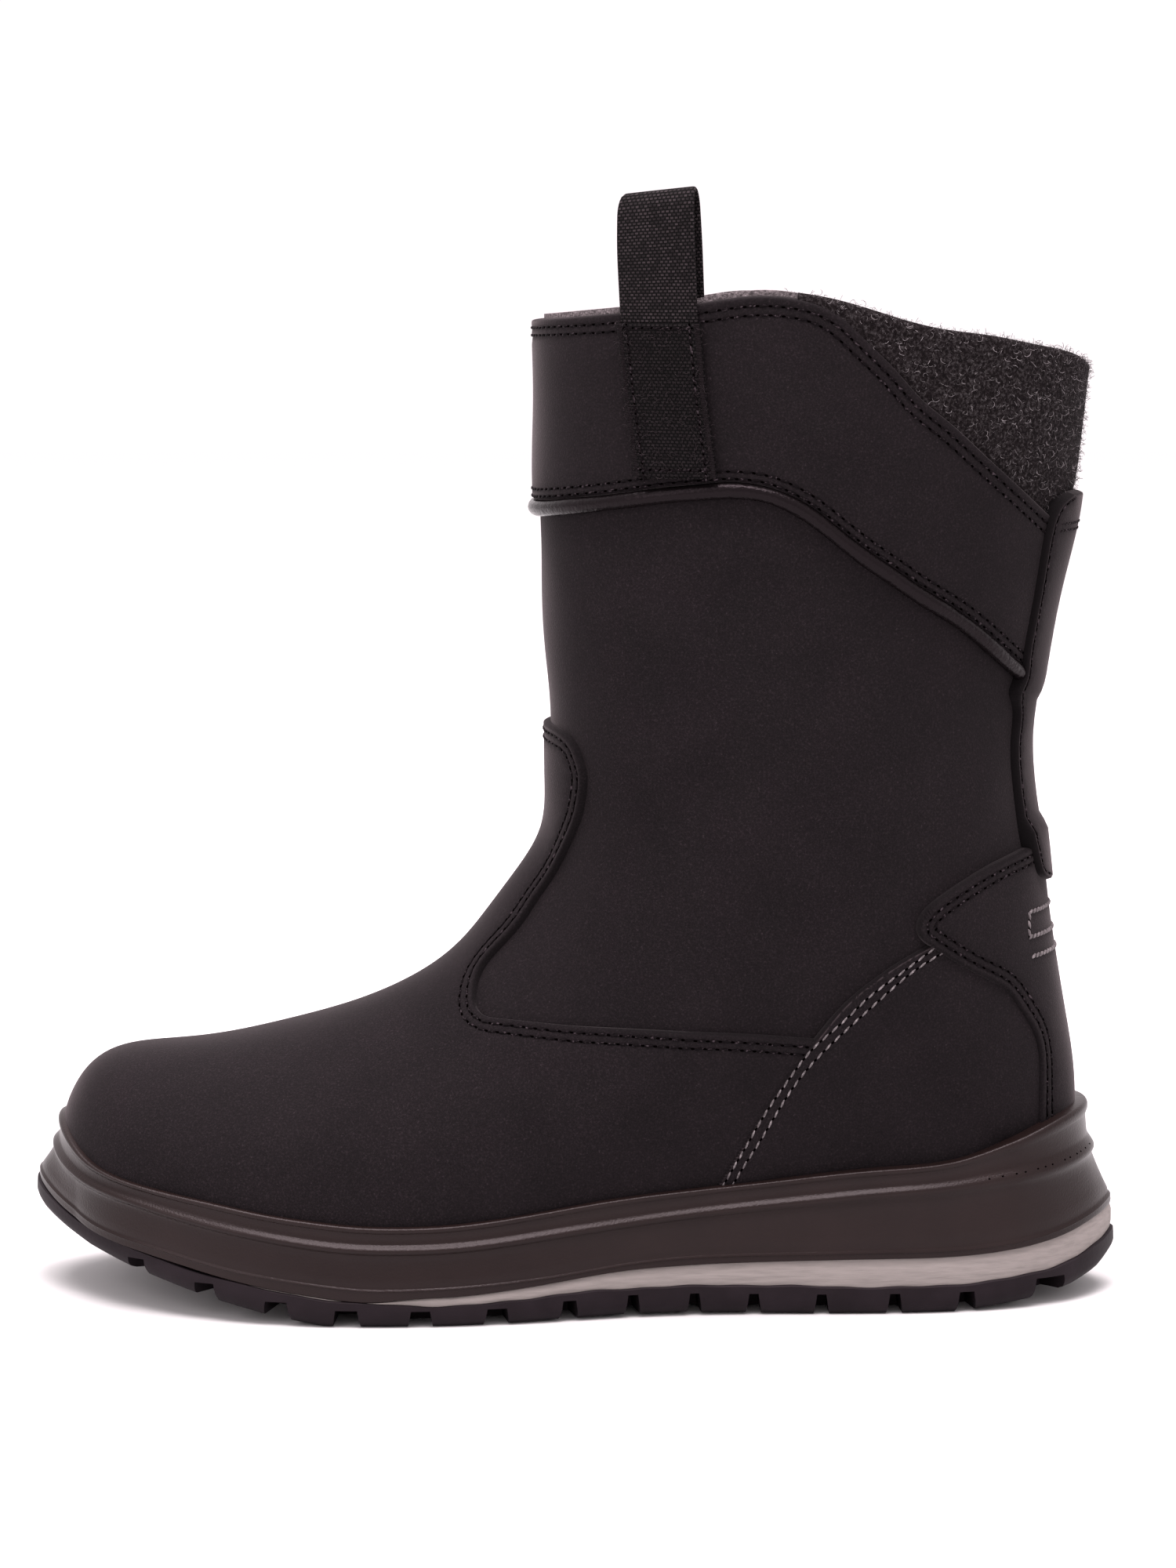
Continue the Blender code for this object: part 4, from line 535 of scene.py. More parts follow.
def closed_shell(outer, inner, faces):
    """Points and faces of a skin with its underside and its border walls."""
    count = len(outer)
    edges = {(a, b) for face in faces for a, b in zip(face, face[1:] + face[:1])}
    walls = [[b, a, a + count, b + count] for a, b in edges if (b, a) not in edges]
    under = [[v + count for v in reversed(face)] for face in faces]
    return np.concatenate((outer, inner)), [list(f) for f in faces] + under + walls


def grid_faces(index):
    """Quads between the rows of an array of point numbers; repeated numbers fold a quad to a triangle."""
    faces = []
    for lower, upper in zip(index[:-1], index[1:]):
        for j in range(len(lower) - 1):
            face = list(dict.fromkeys((lower[j], lower[j + 1], upper[j + 1], upper[j])))
            if len(face) > 2:
                faces.append(face)
    return faces


def piece_from(name, mesh, material, nodes):
    """Piece of the boot from a finished mesh, declared to the frame."""
    piece = bpy.data.objects.new(name, mesh)
    bpy.context.scene.collection.objects.link(piece)
    if material is not None:
        mesh.materials.clear()
        mesh.materials.append(material)
    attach(piece, "root")
    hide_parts(*nodes)
    return piece


def make_mesh(name, points, faces, sharp=50, **marks):
    """Mesh from points in millimetres: doubles merged, faces outwards, smooth up to an angle.

    Marks are values at the points, kept as attributes: the cut-edge mark is how much of a cut edge shows,
    above 0 a raw one, paler hide with a painted highlight, and below 0 painted shade on the edge's side face;
    bare is how much of the fibres' density grows there.
    """
    mesh = bpy.data.meshes.new(name)
    mesh.from_pydata((np.asarray(points, float) * MM).tolist(), [], faces)
    for label, values in marks.items():
        mesh.attributes.new(label, "FLOAT", "POINT").data.foreach_set("value", values.astype(np.float32))
    work = bmesh.new()
    work.from_mesh(mesh)
    bmesh.ops.remove_doubles(work, verts=work.verts, dist=2e-6)
    bmesh.ops.recalc_face_normals(work, faces=work.faces)
    if work.calc_volume(signed=True) < 0:
        bmesh.ops.reverse_faces(work, faces=work.faces)
    work.to_mesh(mesh)
    work.free()
    mesh.shade_smooth()
    mesh.set_sharp_from_angle(angle=math.radians(sharp))
    return mesh


class LeatherPanel:
    """A panel cut to a closed loop on the form; a run has its stitch rows, or None where it is hidden."""

    # Mesh lines by distance from a free edge, and the spacing of points along free and hidden runs
    NEAR_EDGE = (0.1, 0.25, 0.5, 0.9, 1.4)
    EDGE_STEP = 0.9
    HIDDEN_STEP = 2.2
    # Spacing of the points inside, and of their rows as a share of it
    STEP = 2.4
    ROW_SHARE = 0.87
    # How far below the bare form a cut edge starts, and where the underside lies
    EDGE_DEPTH = 0.3
    UNDERSIDE = -0.6
    # The dent along a stitch row: mesh lines beside it, depth and half width
    DENT_SIDE = 0.55
    DENT_DEPTH = 0.22
    DENT_WIDTH = 0.45
    # Half width of the raw line along a cut edge, paler hide with a painted highlight; where on the edge's
    # round the painted shade of its side face ends, and how it fades
    RAW_WIDTH = 0.2
    PAINTED_SHADE_END = 0.95
    PAINTED_SHADE_FADE = 0.35

    def __init__(self, runs):
        self.loop = np.concatenate([even(run, self.HIDDEN_STEP if rows is None else self.EDGE_STEP)[:-1]
                                    for run, rows in runs])
        self.free = [(run, rows) for run, rows in runs if rows is not None]
        self.scale = np.array([np.linalg.norm(v, axis=1).mean() / (2 * SMALL) for v in slopes(self.loop)])
        self.plane = self.loop * self.scale
        edges = [LAST.sample(even(run, 0.15))[0] for run, rows in self.free]
        self.trees = [tree_of(edge) for edge in edges]
        self.edge = tree_of(np.concatenate(edges))

    def off_edge(self, run, distance, step):
        """Places on the line at a distance inside a free edge, without those that a bend brings too near."""
        line = even(run, step)
        moved = moved_aside(line, distance)
        if inside(moved * self.scale, self.plane).mean() < 0.5:
            moved = moved_aside(line, -distance)
        far = distances(self.edge, LAST.sample(moved)[0]) > 0.86 * distance
        return moved[inside(moved * self.scale, self.plane) & far]

    def mesh(self, name, out, edge_round, painted_edge_shade, raw):
        """Skin that rises from its cut edges to its height, pressed in along its stitch rows."""
        lines, widest, step = [], self.NEAR_EDGE[-1], self.STEP
        for run, rows in self.free:
            beside = (-self.DENT_SIDE, 0.0, self.DENT_SIDE)
            near = self.NEAR_EDGE + tuple(row + k for row in rows for k in beside)
            widest = max(widest, *near)
            lines += [self.off_edge(run, d, self.EDGE_STEP) for d in near]
        low, high = self.plane.min(axis=0), self.plane.max(axis=0)
        across, up = np.arange(low[0], high[0], step * self.ROW_SHARE), np.arange(low[1], high[1], step)
        field = np.stack(np.meshgrid(across, up, indexing="ij"), axis=-1)
        field[1::2, :, 1] += step / 2
        field = field.reshape(-1, 2)
        field = field[inside(field, self.plane)]
        border = tree_of(np.pad(self.plane, ((0, 0), (0, 1))))
        clear = distances(border, np.pad(field, ((0, 0), (0, 1)))) > 0.55 * step
        clear &= distances(self.edge, LAST.sample(field / self.scale)[0]) > widest + 0.5 * step
        flat = np.concatenate([self.plane] + [line * self.scale for line in lines] + [field[clear]])
        cut = geometry.delaunay_2d_cdt(flat.tolist(), [], [list(range(len(self.plane)))], 1, 1e-4)
        su = np.array([tuple(v) for v in cut[0]]) / self.scale
        base = LAST.sample(su)[0]
        gap = distances(self.edge, base)
        height = out(base) if callable(out) else np.full(len(su), out)
        rise = np.sqrt(np.clip(1 - (1 - np.clip(gap / edge_round, 0, 1)) ** 2, 0, 1))
        lift = -self.EDGE_DEPTH + (height + self.EDGE_DEPTH) * rise
        for tree, (run, rows) in zip(self.trees, self.free):
            own = distances(tree, base)
            for row in rows:
                lift -= self.DENT_DEPTH * np.exp(-((own - row) / self.DENT_WIDTH) ** 2)
        under = on_last(su, self.UNDERSIDE)
        points, faces = closed_shell(on_last(su, lift), under, [list(f) for f in cut[2]])
        # Cut-edge mark: a ragged raw line near the top of each cut edge, paler hide with a painted highlight,
        # and painted shade over the edge's side face
        x, z = base[:, 0], base[:, 2]
        ragged = 0.5 + 0.5 * np.sin(x * 2.3 + z * 1.7) * np.sin(z * 3.1 - x * 1.3)
        worn = raw * ragged * np.exp(-((gap - edge_round) / self.RAW_WIDTH) ** 2)
        worn -= painted_edge_shade * np.clip((self.PAINTED_SHADE_END - gap / edge_round) / self.PAINTED_SHADE_FADE, 0, 1)
        return make_mesh(name, points, faces, sharp=85, worn=np.concatenate((worn, worn)))


class Seams:
    """Stitch places gathered from the panels, by thread."""

    # As shares of the pitch: what a row leaves free at its end, and where a stitch's direction is read
    FREE_END = 0.4
    AHEAD = 0.3
    # How deep a stitch lies in the leather
    SUNK = 0.05

    def __init__(self):
        self.rows = {}

    def add(self, thread, su, lift, pitch, start=0.0, slant=STITCH_SLANT):
        """A row of stitches along a run on the form, slightly sunk."""
        along = run_length(on_last(su, lift))
        at = np.arange(start, along[-1] - pitch * self.FREE_END, pitch)
        fine = pitch * self.AHEAD
        middle = on_last(resampled(su, at, along), lift)
        ahead = on_last(resampled(su, np.minimum(at + fine, along[-1]), along), lift)
        behind = on_last(resampled(su, np.maximum(at - fine, 0), along), lift)
        up = LAST.sample(resampled(su, at, along))[1]
        run = ahead - behind
        self.add_points(thread, middle - self.SUNK * up, run + slant * np.cross(up, run), up)
        # Black dots of painted shade where the needle holes are, half a pitch on
        between = resampled(su, np.minimum(at + pitch / 2, along[-1]), along)
        self.add_points("painted_needle_hole_shade", on_last(between, lift), run, LAST.sample(between)[1])

    def add_points(self, thread, points, along, up):
        """Single stitches with their direction and the surface's normal."""
        self.rows.setdefault(thread, []).append((points, along, up))

    def mesh(self, thread):
        """Point mesh with the directions as attributes."""
        points, along, up = (np.concatenate([row[k] for row in self.rows[thread]]) for k in range(3))
        mesh = bpy.data.meshes.new(thread)
        mesh.from_pydata((points * MM).tolist(), [], [])
        for name, values in (("along", along), ("up", up)):
            attribute = mesh.attributes.new(name, "FLOAT_VECTOR", "POINT")
            attribute.data.foreach_set("vector", values.astype(np.float32).ravel())
        return mesh


SEAMS = Seams()


def grown(tree, source, values):
    """Plain mesh that a geometry node tree makes from a source mesh."""
    holder = bpy.data.objects.new("source", source)
    bpy.context.scene.collection.objects.link(holder)
    modifier = holder.modifiers.new("nodes", "NODES")
    modifier.node_group = tree
    for item in tree.interface.items_tree:
        if item.in_out == "INPUT" and item.name in values:
            modifier[item.identifier] = values[item.name]
    graph = bpy.context.evaluated_depsgraph_get()
    mesh = bpy.data.meshes.new_from_object(holder.evaluated_get(graph))
    holder.modifiers.remove(modifier)
    bpy.data.objects.remove(holder)
    return mesh


def new_tree(name, inputs):
    """Geometry node tree from named input sockets; returns what adds a node to it, and its inputs."""
    tree = bpy.data.node_groups.new(name, "GeometryNodeTree")
    for label, kind in inputs:
        tree.interface.new_socket(label, in_out="INPUT", socket_type="NodeSocket" + kind)
    tree.interface.new_socket("Result", in_out="OUTPUT", socket_type="NodeSocketGeometry")
    return tree, partial(add_node, tree), add_node(tree, "NodeGroupInput").outputs


def end_tree(tree, instances, material):
    """A tree's end: its instances made real, shaded smooth and given their material."""
    real = add_node(tree, "GeometryNodeRealizeInstances", {"Geometry": instances}).outputs["Geometry"]
    smooth = add_node(tree, "GeometryNodeSetShadeSmooth", {"Geometry": real}).outputs["Geometry"]
    paint = add_node(tree, "GeometryNodeSetMaterial", {"Geometry": smooth, "Material": material})
    add_node(tree, "NodeGroupOutput", {"Result": paint.outputs["Geometry"]})
    return tree


def stitch_tree():
    """One small rounded thread on each point, turned along its seam."""
    tree, add, given = new_tree("thread_stitches", (
        ("Seam", "Geometry"), ("Length", "Float"), ("Width", "Float"), ("Height", "Float"), ("Sides", "Int"),
        ("Thread", "Material")))
    ball = add("GeometryNodeMeshUVSphere", {"Segments": given["Sides"], "Rings": 5, "Radius": 0.5})
    size = add("ShaderNodeCombineXYZ", {"X": given["Height"], "Y": given["Width"], "Z": given["Length"]})
    shape = add("GeometryNodeTransform", {"Geometry": ball.outputs["Mesh"], "Scale": size.outputs[0],
                                          "Rotation": (0.0, math.pi / 2, 0.0)})
    along = add("GeometryNodeInputNamedAttribute", {"Name": "along"}, data_type="FLOAT_VECTOR")
    up = add("GeometryNodeInputNamedAttribute", {"Name": "up"}, data_type="FLOAT_VECTOR")
    turn = add("FunctionNodeAxesToRotation", {"Primary Axis": along.outputs["Attribute"],
                                              "Secondary Axis": up.outputs["Attribute"]},
               primary_axis="X", secondary_axis="Z")
    placed = add("GeometryNodeInstanceOnPoints", {
        "Points": given["Seam"], "Instance": shape.outputs["Geometry"],
        "Rotation": turn.outputs["Rotation"]})
    return end_tree(tree, placed.outputs["Instances"], given["Thread"])


# How far a loose fibre leans to either side in radians, and how its size varies
FIBRE_LEAN = 1.3
FIBRE_SIZES = (0.5, 1.4)


def fibre_tree():
    """Curled fibres scattered over the bare parts of a surface."""
    tree, add, given = new_tree("loose_fibres", (
        ("Cloth", "Geometry"), ("Density", "Float"), ("Length", "Float"), ("Thickness", "Float"),
        ("Curl", "Float"), ("Points", "Int"), ("Seed", "Int"), ("Fibre", "Material")))
    bare = add("GeometryNodeInputNamedAttribute", {"Name": "bare"}, data_type="FLOAT")
    density = add("ShaderNodeMath", {0: given["Density"], 1: bare.outputs["Attribute"]},
                  operation="MULTIPLY")
    spots = add("GeometryNodeDistributePointsOnFaces", {
        "Mesh": given["Cloth"], "Density": density.outputs[0], "Seed": given["Seed"]})
    arc = add("GeometryNodeCurveArc", {"Resolution": given["Points"], "Radius": given["Length"],
                                       "Start Angle": 0.2, "Sweep Angle": given["Curl"]})
    ring = add("GeometryNodeCurvePrimitiveCircle", {"Resolution": 3, "Radius": given["Thickness"]})
    fibre = add("GeometryNodeCurveToMesh", {
        "Curve": arc.outputs["Curve"], "Profile Curve": ring.outputs["Curve"], "Fill Caps": True})
    centred = add("ShaderNodeVectorMath", {0: (-1.0, 0.0, 0.0), "Scale": given["Length"]}, operation="SCALE")
    moved = add("GeometryNodeTransform", {
        "Geometry": fibre.outputs["Mesh"], "Translation": centred.outputs[0]})
    tilt = add("FunctionNodeRandomValue", {
        0: (-FIBRE_LEAN, -FIBRE_LEAN, 0.0), 1: (FIBRE_LEAN, FIBRE_LEAN, 6.28), "Seed": given["Seed"]},
               data_type="FLOAT_VECTOR")
    tilted = add("FunctionNodeEulerToRotation", {"Euler": tilt.outputs[0]})
    turn = add("FunctionNodeRotateRotation", {
        "Rotation": spots.outputs["Rotation"], "Rotate By": tilted.outputs["Rotation"]},
               rotation_space="LOCAL")
    grow = add("FunctionNodeRandomValue", {2: FIBRE_SIZES[0], 3: FIBRE_SIZES[1], "Seed": given["Seed"]},
               data_type="FLOAT")
    placed = add("GeometryNodeInstanceOnPoints", {
        "Points": spots.outputs["Points"], "Instance": moved.outputs["Geometry"],
        "Rotation": turn.outputs["Rotation"], "Scale": grow.outputs[1]})
    return end_tree(tree, placed.outputs["Instances"], given["Fibre"])


# Materials

def new_material(name, colour, roughness, ior=1.5, **shader_values):
    """Material with its shader; returns the material, what adds a node to it, and the shader's inputs."""
    material = bpy.data.materials.new(name)
    material.use_nodes = True
    surface = material.node_tree.nodes["Principled BSDF"].inputs
    surface["Base Color"].default_value = colour
    surface["Roughness"].default_value = roughness
    surface["IOR"].default_value = ior
    for label, value in shader_values.items():
        surface[label.replace("_", " ")].default_value = value
    return material, partial(add_node, material.node_tree), surface


def grey(value):
    """A plain grey."""
    return (value, value, value, 1.0)


def tinted(colour, factor):
    """A colour made lighter or darker."""
    return (*[min(v * factor, 1.0) for v in colour[:3]], 1.0)


def tints(colour, *marks):
    """Stops of a ramp in one colour, from places and factors."""
    return [(place, tinted(colour, factor)) for place, factor in marks]


def per_mm(size):
    """Scale of a texture on coordinates in metres whose grains are about a size in millimetres."""
    return 1.0 / (size * MM)


# Slightly warm gloss of black dyes
WARM_GLOSS = (1.0, 0.82, 0.9, 1.0)
# Colour of a raw cut edge, the hide's paler colour together with a painted highlight, and the tips of its nap
RAW_HIDE_AND_HIGHLIGHT = linear("#5a5052")
NAP_TIPS = linear("#b9aeb0")


def black_nubuck(colours):
    """Buffed black nubuck: dead matt, a fine nap whose tips catch light as specks and at grazing angles.

    A raw cut edge is paler, because the dye doesn't reach the middle of the hide, and carries a painted
    highlight; the side faces of the other cut edges are painted darker as shade.
    """
    base = colours.nubuck
    material, add, surface = new_material(
        "black_nubuck", base, 0.92, Sheen_Weight=0.3, Sheen_Roughness=0.3, Sheen_Tint=NAP_TIPS,
        Specular_IOR_Level=0.1)
    place = add("ShaderNodeTexCoord").outputs["Object"]
    # The nap is about 0.15 mm; drawn at 0.5 mm so that it shows
    nap = add("ShaderNodeTexNoise", {"Vector": place, "Scale": per_mm(0.5), "Detail": 3.0,
                                     "Roughness": 0.65}).outputs["Fac"]
    cloud = add("ShaderNodeTexNoise", {"Vector": place, "Scale": per_mm(16.0), "Detail": 3.0}).outputs["Fac"]
    specks = add("ShaderNodeValToRGB", {"Fac": nap}, stops=tints(
        base, (0.30, 0.6), (0.52, 0.95), (0.66, 1.6), (0.80, 4.2))).outputs["Color"]
    wear = add("ShaderNodeValToRGB", {"Fac": cloud}, stops=(
        (0.25, grey(0.86)), (0.75, (1.16, 1.14, 1.14, 1)))).outputs["Color"]
    clouded = add("ShaderNodeMix", {0: 1.0, "A": specks, "B": wear}, data_type="RGBA",
                  blend_type="MULTIPLY").outputs["Result"]
    # Cut edges: paler hide and a painted highlight along a raw one, painted shade on the side faces of the
    # others
    worn = add("ShaderNodeAttribute", attribute_name="worn").outputs["Fac"]
    raw = add("ShaderNodeMapRange", {"Value": worn}).outputs["Result"]
    pale = add("ShaderNodeMix", {0: raw, "A": clouded, "B": RAW_HIDE_AND_HIGHLIGHT}, data_type="RGBA").outputs["Result"]
    painted_edge_shade = add("ShaderNodeMapRange", {"Value": worn, "From Max": -1.0}).outputs["Result"]
    add("ShaderNodeMix", {0: painted_edge_shade, "A": pale, "B": tinted(base, 0.4)}, to=surface["Base Color"],
        data_type="RGBA")
    add("ShaderNodeBump", {"Height": nap, "Strength": 0.35, "Distance": 0.25 * MM}, to=surface["Normal"])
    return material


def piping_leather(colours):
    """Smooth finished leather over a padded cord: near-black, with a soft narrow highlight along the top."""
    material, add, surface = new_material(
        "smooth_black_leather", colours.piping, 0.22, Specular_IOR_Level=0.1, Specular_Tint=WARM_GLOSS)
    place = add("ShaderNodeTexCoord").outputs["Object"]
    grain = add("ShaderNodeTexNoise", {"Vector": place, "Scale": per_mm(0.9), "Detail": 3.0}).outputs["Fac"]
    crease = add("ShaderNodeTexNoise", {"Vector": place, "Scale": per_mm(4.0), "Detail": 2.0}).outputs["Fac"]
    both = add("ShaderNodeMath", {0: grain, 1: crease}, operation="ADD").outputs[0]
    add("ShaderNodeBump", {"Height": both, "Strength": 0.45, "Distance": 0.4 * MM}, to=surface["Normal"])
    return material


def wool_felt(name, dark, light):
    """Needled wool felt of mixed greys: mottled in clumps just under a millimetre wide, with no gloss."""
    material, add, surface = new_material(name, dark, 1.0, Specular_IOR_Level=0.05)
    place = add("ShaderNodeTexCoord").outputs["Object"]
    clump = add("ShaderNodeTexNoise", {"Vector": place, "Scale": per_mm(0.8), "Detail": 4.0,
                                       "Roughness": 0.7}).outputs["Fac"]
    middle = (*[(a * b) ** 0.5 for a, b in zip(dark[:3], light[:3])], 1.0)
    add("ShaderNodeValToRGB", {"Fac": clump}, to=surface["Base Color"], stops=(
        (0.36, tinted(dark, 0.5)), (0.48, dark), (0.57, middle), (0.70, light)))
    add("ShaderNodeBump", {"Height": clump, "Strength": 1.0, "Distance": 0.9 * MM}, to=surface["Normal"])
    return material


def spun_fibre(name, colour, roughness, gloss, painted_glint=1.5):
    """Threads and loose fibres: lighter and darker from one to the next, with a slight gloss and painted
    glints, specks lighter by a factor.
    """
    material, add, surface = new_material(
        name, colour, roughness, Specular_IOR_Level=gloss, Specular_Tint=WARM_GLOSS)
    place = add("ShaderNodeTexCoord").outputs["Object"]
    strand = add("ShaderNodeTexNoise", {"Vector": place, "Scale": per_mm(0.8), "Detail": 2.0}).outputs["Fac"]
    add("ShaderNodeValToRGB", {"Fac": strand}, to=surface["Base Color"], stops=tints(
        colour, (0.35, 0.55), (0.56, 1.0), (0.68, painted_glint)))
    add("ShaderNodeBump", {"Height": strand, "Strength": 0.3, "Distance": 0.2 * MM}, to=surface["Normal"])
    return material


# Length of a raised yarn of the webbing and height of its rows, in millimetres
YARN = 1.0
YARN_ROW = 0.8


def woven_webbing(name, base, light):
    """Ribbed polyester tape: rows of small raised yarns, set off by half in each row, with painted shade in
    the gaps and painted highlights on the yarns.
    """
    material, add, surface = new_material(name, base, 0.8, Specular_IOR_Level=0.07)
    weave = add("ShaderNodeUVMap", uv_map="weave").outputs["UV"]
    waver = add("ShaderNodeTexNoise", {"Vector": weave, "Scale": 0.35, "Detail": 2.0}).outputs["Color"]
    bent = add("ShaderNodeMix", {0: 0.25, "A": weave, "B": waver}, data_type="RGBA",
               blend_type="ADD").outputs["Result"]
    yarns = add("ShaderNodeTexBrick", {
        "Vector": bent, "Color1": grey(1.0), "Color2": grey(0.55), "Mortar": grey(0.0), "Scale": 1.0,
        "Mortar Size": YARN_ROW * 0.3, "Mortar Smooth": 1.0, "Brick Width": YARN, "Row Height": YARN_ROW},
                offset=0.5).outputs["Color"]
    # From painted shade in the gaps between the yarns to painted highlights on the yarns, up to the light
    # factor
    add("ShaderNodeValToRGB", {"Fac": yarns}, to=surface["Base Color"], stops=tints(
        base, (0.0, 0.2), (0.5, 1.0), (1.0, light)))
    add("ShaderNodeBump", {"Height": yarns, "Strength": 0.9, "Distance": 0.4 * MM}, to=surface["Normal"])
    return material


def moulded_foam(colours):
    """Moulded polyurethane: brown-black satin skin with a fine stipple, clouded by the mould's flow."""
    base = colours.midsole
    material, add, surface = new_material(
        "moulded_polyurethane", base, 0.32, Specular_IOR_Level=0.18, Specular_Tint=(1.0, 0.9, 0.92, 1.0))
    place = add("ShaderNodeTexCoord").outputs["Object"]
    # The stipple is about 0.2 mm; drawn at 0.5 mm so that it shows
    pits = add("ShaderNodeTexNoise", {"Vector": place, "Scale": per_mm(0.5), "Detail": 2.0}).outputs["Fac"]
    cloud = add("ShaderNodeTexNoise", {"Vector": place, "Scale": per_mm(22.0), "Detail": 3.0}).outputs["Fac"]
    add("ShaderNodeValToRGB", {"Fac": cloud}, to=surface["Base Color"], stops=tints(
        base, (0.3, 0.86), (0.7, 1.16)))
    add("ShaderNodeBump", {"Height": pits, "Strength": 0.3, "Distance": 0.25 * MM}, to=surface["Normal"])
    return material


def brushed_foam(colours):
    """Roughed light foam: pale, matt, with short streaks along the sole from the sanding belt."""
    base = colours.wedge
    material, add, surface = new_material("sanded_light_foam", base, 0.85, Specular_IOR_Level=0.3)
    place = add("ShaderNodeTexCoord").outputs["Object"]
    stretched = add("ShaderNodeMapping", {"Vector": place, "Scale": (0.16, 0.5, 1.6)}).outputs["Vector"]
    streak = add("ShaderNodeTexNoise", {"Vector": stretched, "Scale": per_mm(1.6), "Detail": 4.0,
                                        "Roughness": 0.6}).outputs["Fac"]
    add("ShaderNodeValToRGB", {"Fac": streak}, to=surface["Base Color"], stops=tints(
        base, (0.3, 0.84), (0.5, 1.0), (0.72, 1.12)))
    add("ShaderNodeBump", {"Height": streak, "Strength": 0.4, "Distance": 0.4 * MM}, to=surface["Normal"])
    return material


def black_rubber(colours):
    """Moulded black rubber: near-black with a broad dull highlight, dusty in patches."""
    base = colours.rubber
    material, add, surface = new_material(
        "moulded_black_rubber", base, 0.6, 1.52, Specular_IOR_Level=0.17, Specular_Tint=WARM_GLOSS)
    place = add("ShaderNodeTexCoord").outputs["Object"]
    grain = add("ShaderNodeTexNoise", {"Vector": place, "Scale": per_mm(1.1), "Detail": 3.0}).outputs["Fac"]
    dust = add("ShaderNodeTexNoise", {"Vector": place, "Scale": per_mm(9.0), "Detail": 4.0}).outputs["Fac"]
    add("ShaderNodeValToRGB", {"Fac": dust}, to=surface["Base Color"], stops=tints(
        base, (0.4, 0.85), (0.7, 1.5)))
    add("ShaderNodeBump", {"Height": grain, "Strength": 0.25, "Distance": 0.3 * MM}, to=surface["Normal"])
    return material


# Upper

def below_rim(x, drop=HIDDEN):
    """Side-view points under the midsole's rim."""
    return np.stack((x, height_on(LINES["rim"], x) - drop), axis=1)


def part_of(line, start, end):
    """The part of a side-view line between the places nearest to two points."""
    i = int(np.argmin(np.linalg.norm(line - np.array(start), axis=1)))
    j = int(np.argmin(np.linalg.norm(line - np.array(end), axis=1)))
    return line[i:j + 1] if i <= j else line[j:i + 1][::-1]


def straight(*points):
    """Dense polyline through side-view points."""
    points = np.asarray(points, float)
    along = run_length(points)
    return resampled(points, np.linspace(0, along[-1], 120), along)


def mirrored_runs(sides):
    """Runs of the outer side, then the inner side's runs backwards, as one closed loop."""
    outer, inner = sides
    return outer + [(run[::-1], rows) for run, rows in reversed(inner)]


def vamp_panel():
    """Toe, side strips and front tab in one piece."""
    sides = []
    for side in (0, 1):
        foot = below_rim(np.linspace(*VAMP_FOOT_X, 500))
        edge = trace(part_of(LINES["vamp"], (FRONT_X, 146.0), VAMP_CORNER), side)
        back = trace(straight(VAMP_CORNER, foot[0]), side)
        sides.append([(edge, VAMP_ROWS), (back, None), (trace(foot, side), None)])
    return LeatherPanel(mirrored_runs(sides))


def foxing_panel(side):
    """Sloping quarter panel, its back edge under the counter."""
    front = trace(part_of(LINES["foxing"], FOXING_FOOT, FOXING_BACK[0]), side)
    back = trace(straight(*FOXING_BACK), side)
    foot = trace(below_rim(np.linspace(FOXING_BACK[-1][0], FOXING_FOOT[0], 200)), side)
    foot[0], foot[-1] = back[-1], front[0]
    back[0] = front[-1]
    return LeatherPanel([(front, ()), (back, None), (foot, None)])


def foxing_height(points):
    """The foxing's height off the bare form: thin on the shaft, higher where it lies over the vamp."""
    edge_x, edge_z = LINES["foxing"].T
    behind = points[..., 0] - np.interp(points[..., 2], edge_z, edge_x)
    over_vamp = np.clip((18.0 - behind) / 9.0, 0, 1) * np.clip((82.0 - points[..., 2]) / 9.0, 0, 1)
    return FOXING_OUT + FOXING_RISE * over_vamp


def counter_panel():
    """Moulded panel around the heel."""
    sides = []
    for side in (0, 1):
        edge = around_back(trace(part_of(LINES["counter"], COUNTER_FOOT, COUNTER_TOP), side))
        foot = around_back(trace(below_rim(np.linspace(*COUNTER_FOOT_X, 80)), side))
        foot[0] = edge[0]
        sides.append([(edge[::-1], COUNTER_ROWS), (foot, None)])
    return LeatherPanel(mirrored_runs(sides))


STAY_Z, STAY_X, STAY_OUT = np.array(STAY).T


def stay_panel():
    """Strip over the back seam."""
    line = smooth_line(np.stack((STAY_X, STAY_Z), axis=1), 300)
    sides = []
    for side in (0, 1):
        edge = around_back(LAST.find(line, side)[0])
        top = level_run(STAY_Z[-1], STAY_X[-1], side)
        bottom = level_run(STAY_Z[0], STAY_X[0], side)
        sides.append([(top[::-1], ()), (edge[::-1], STAY_ROWS), (bottom, ())])
    return LeatherPanel(mirrored_runs(sides))


def stay_height(points):
    """The stay's height off the bare form: over the counter, over the shaft and over the cuff."""
    return np.interp(points[:, 2], STAY_Z, STAY_OUT)


def cuff_panel():
    """Band around the top of the shaft, its ends under the stay."""
    sides = []
    for side in (0, 1):
        low = trace(part_of(LINES["piping"], (FRONT_X, 202.1), CUFF_BACK[-1]), side)
        top = trace(part_of(LINES["cuff_top"], (FRONT_X, 247.4), CUFF_BACK[0]), side)
        back = trace(straight(*CUFF_BACK), side)
        back[0], back[-1] = top[-1], low[-1]
        sides.append([(top, CUFF_TOP_ROWS), (back, None), (low[::-1], CUFF_LOW_ROWS)])
    return LeatherPanel(mirrored_runs(sides))


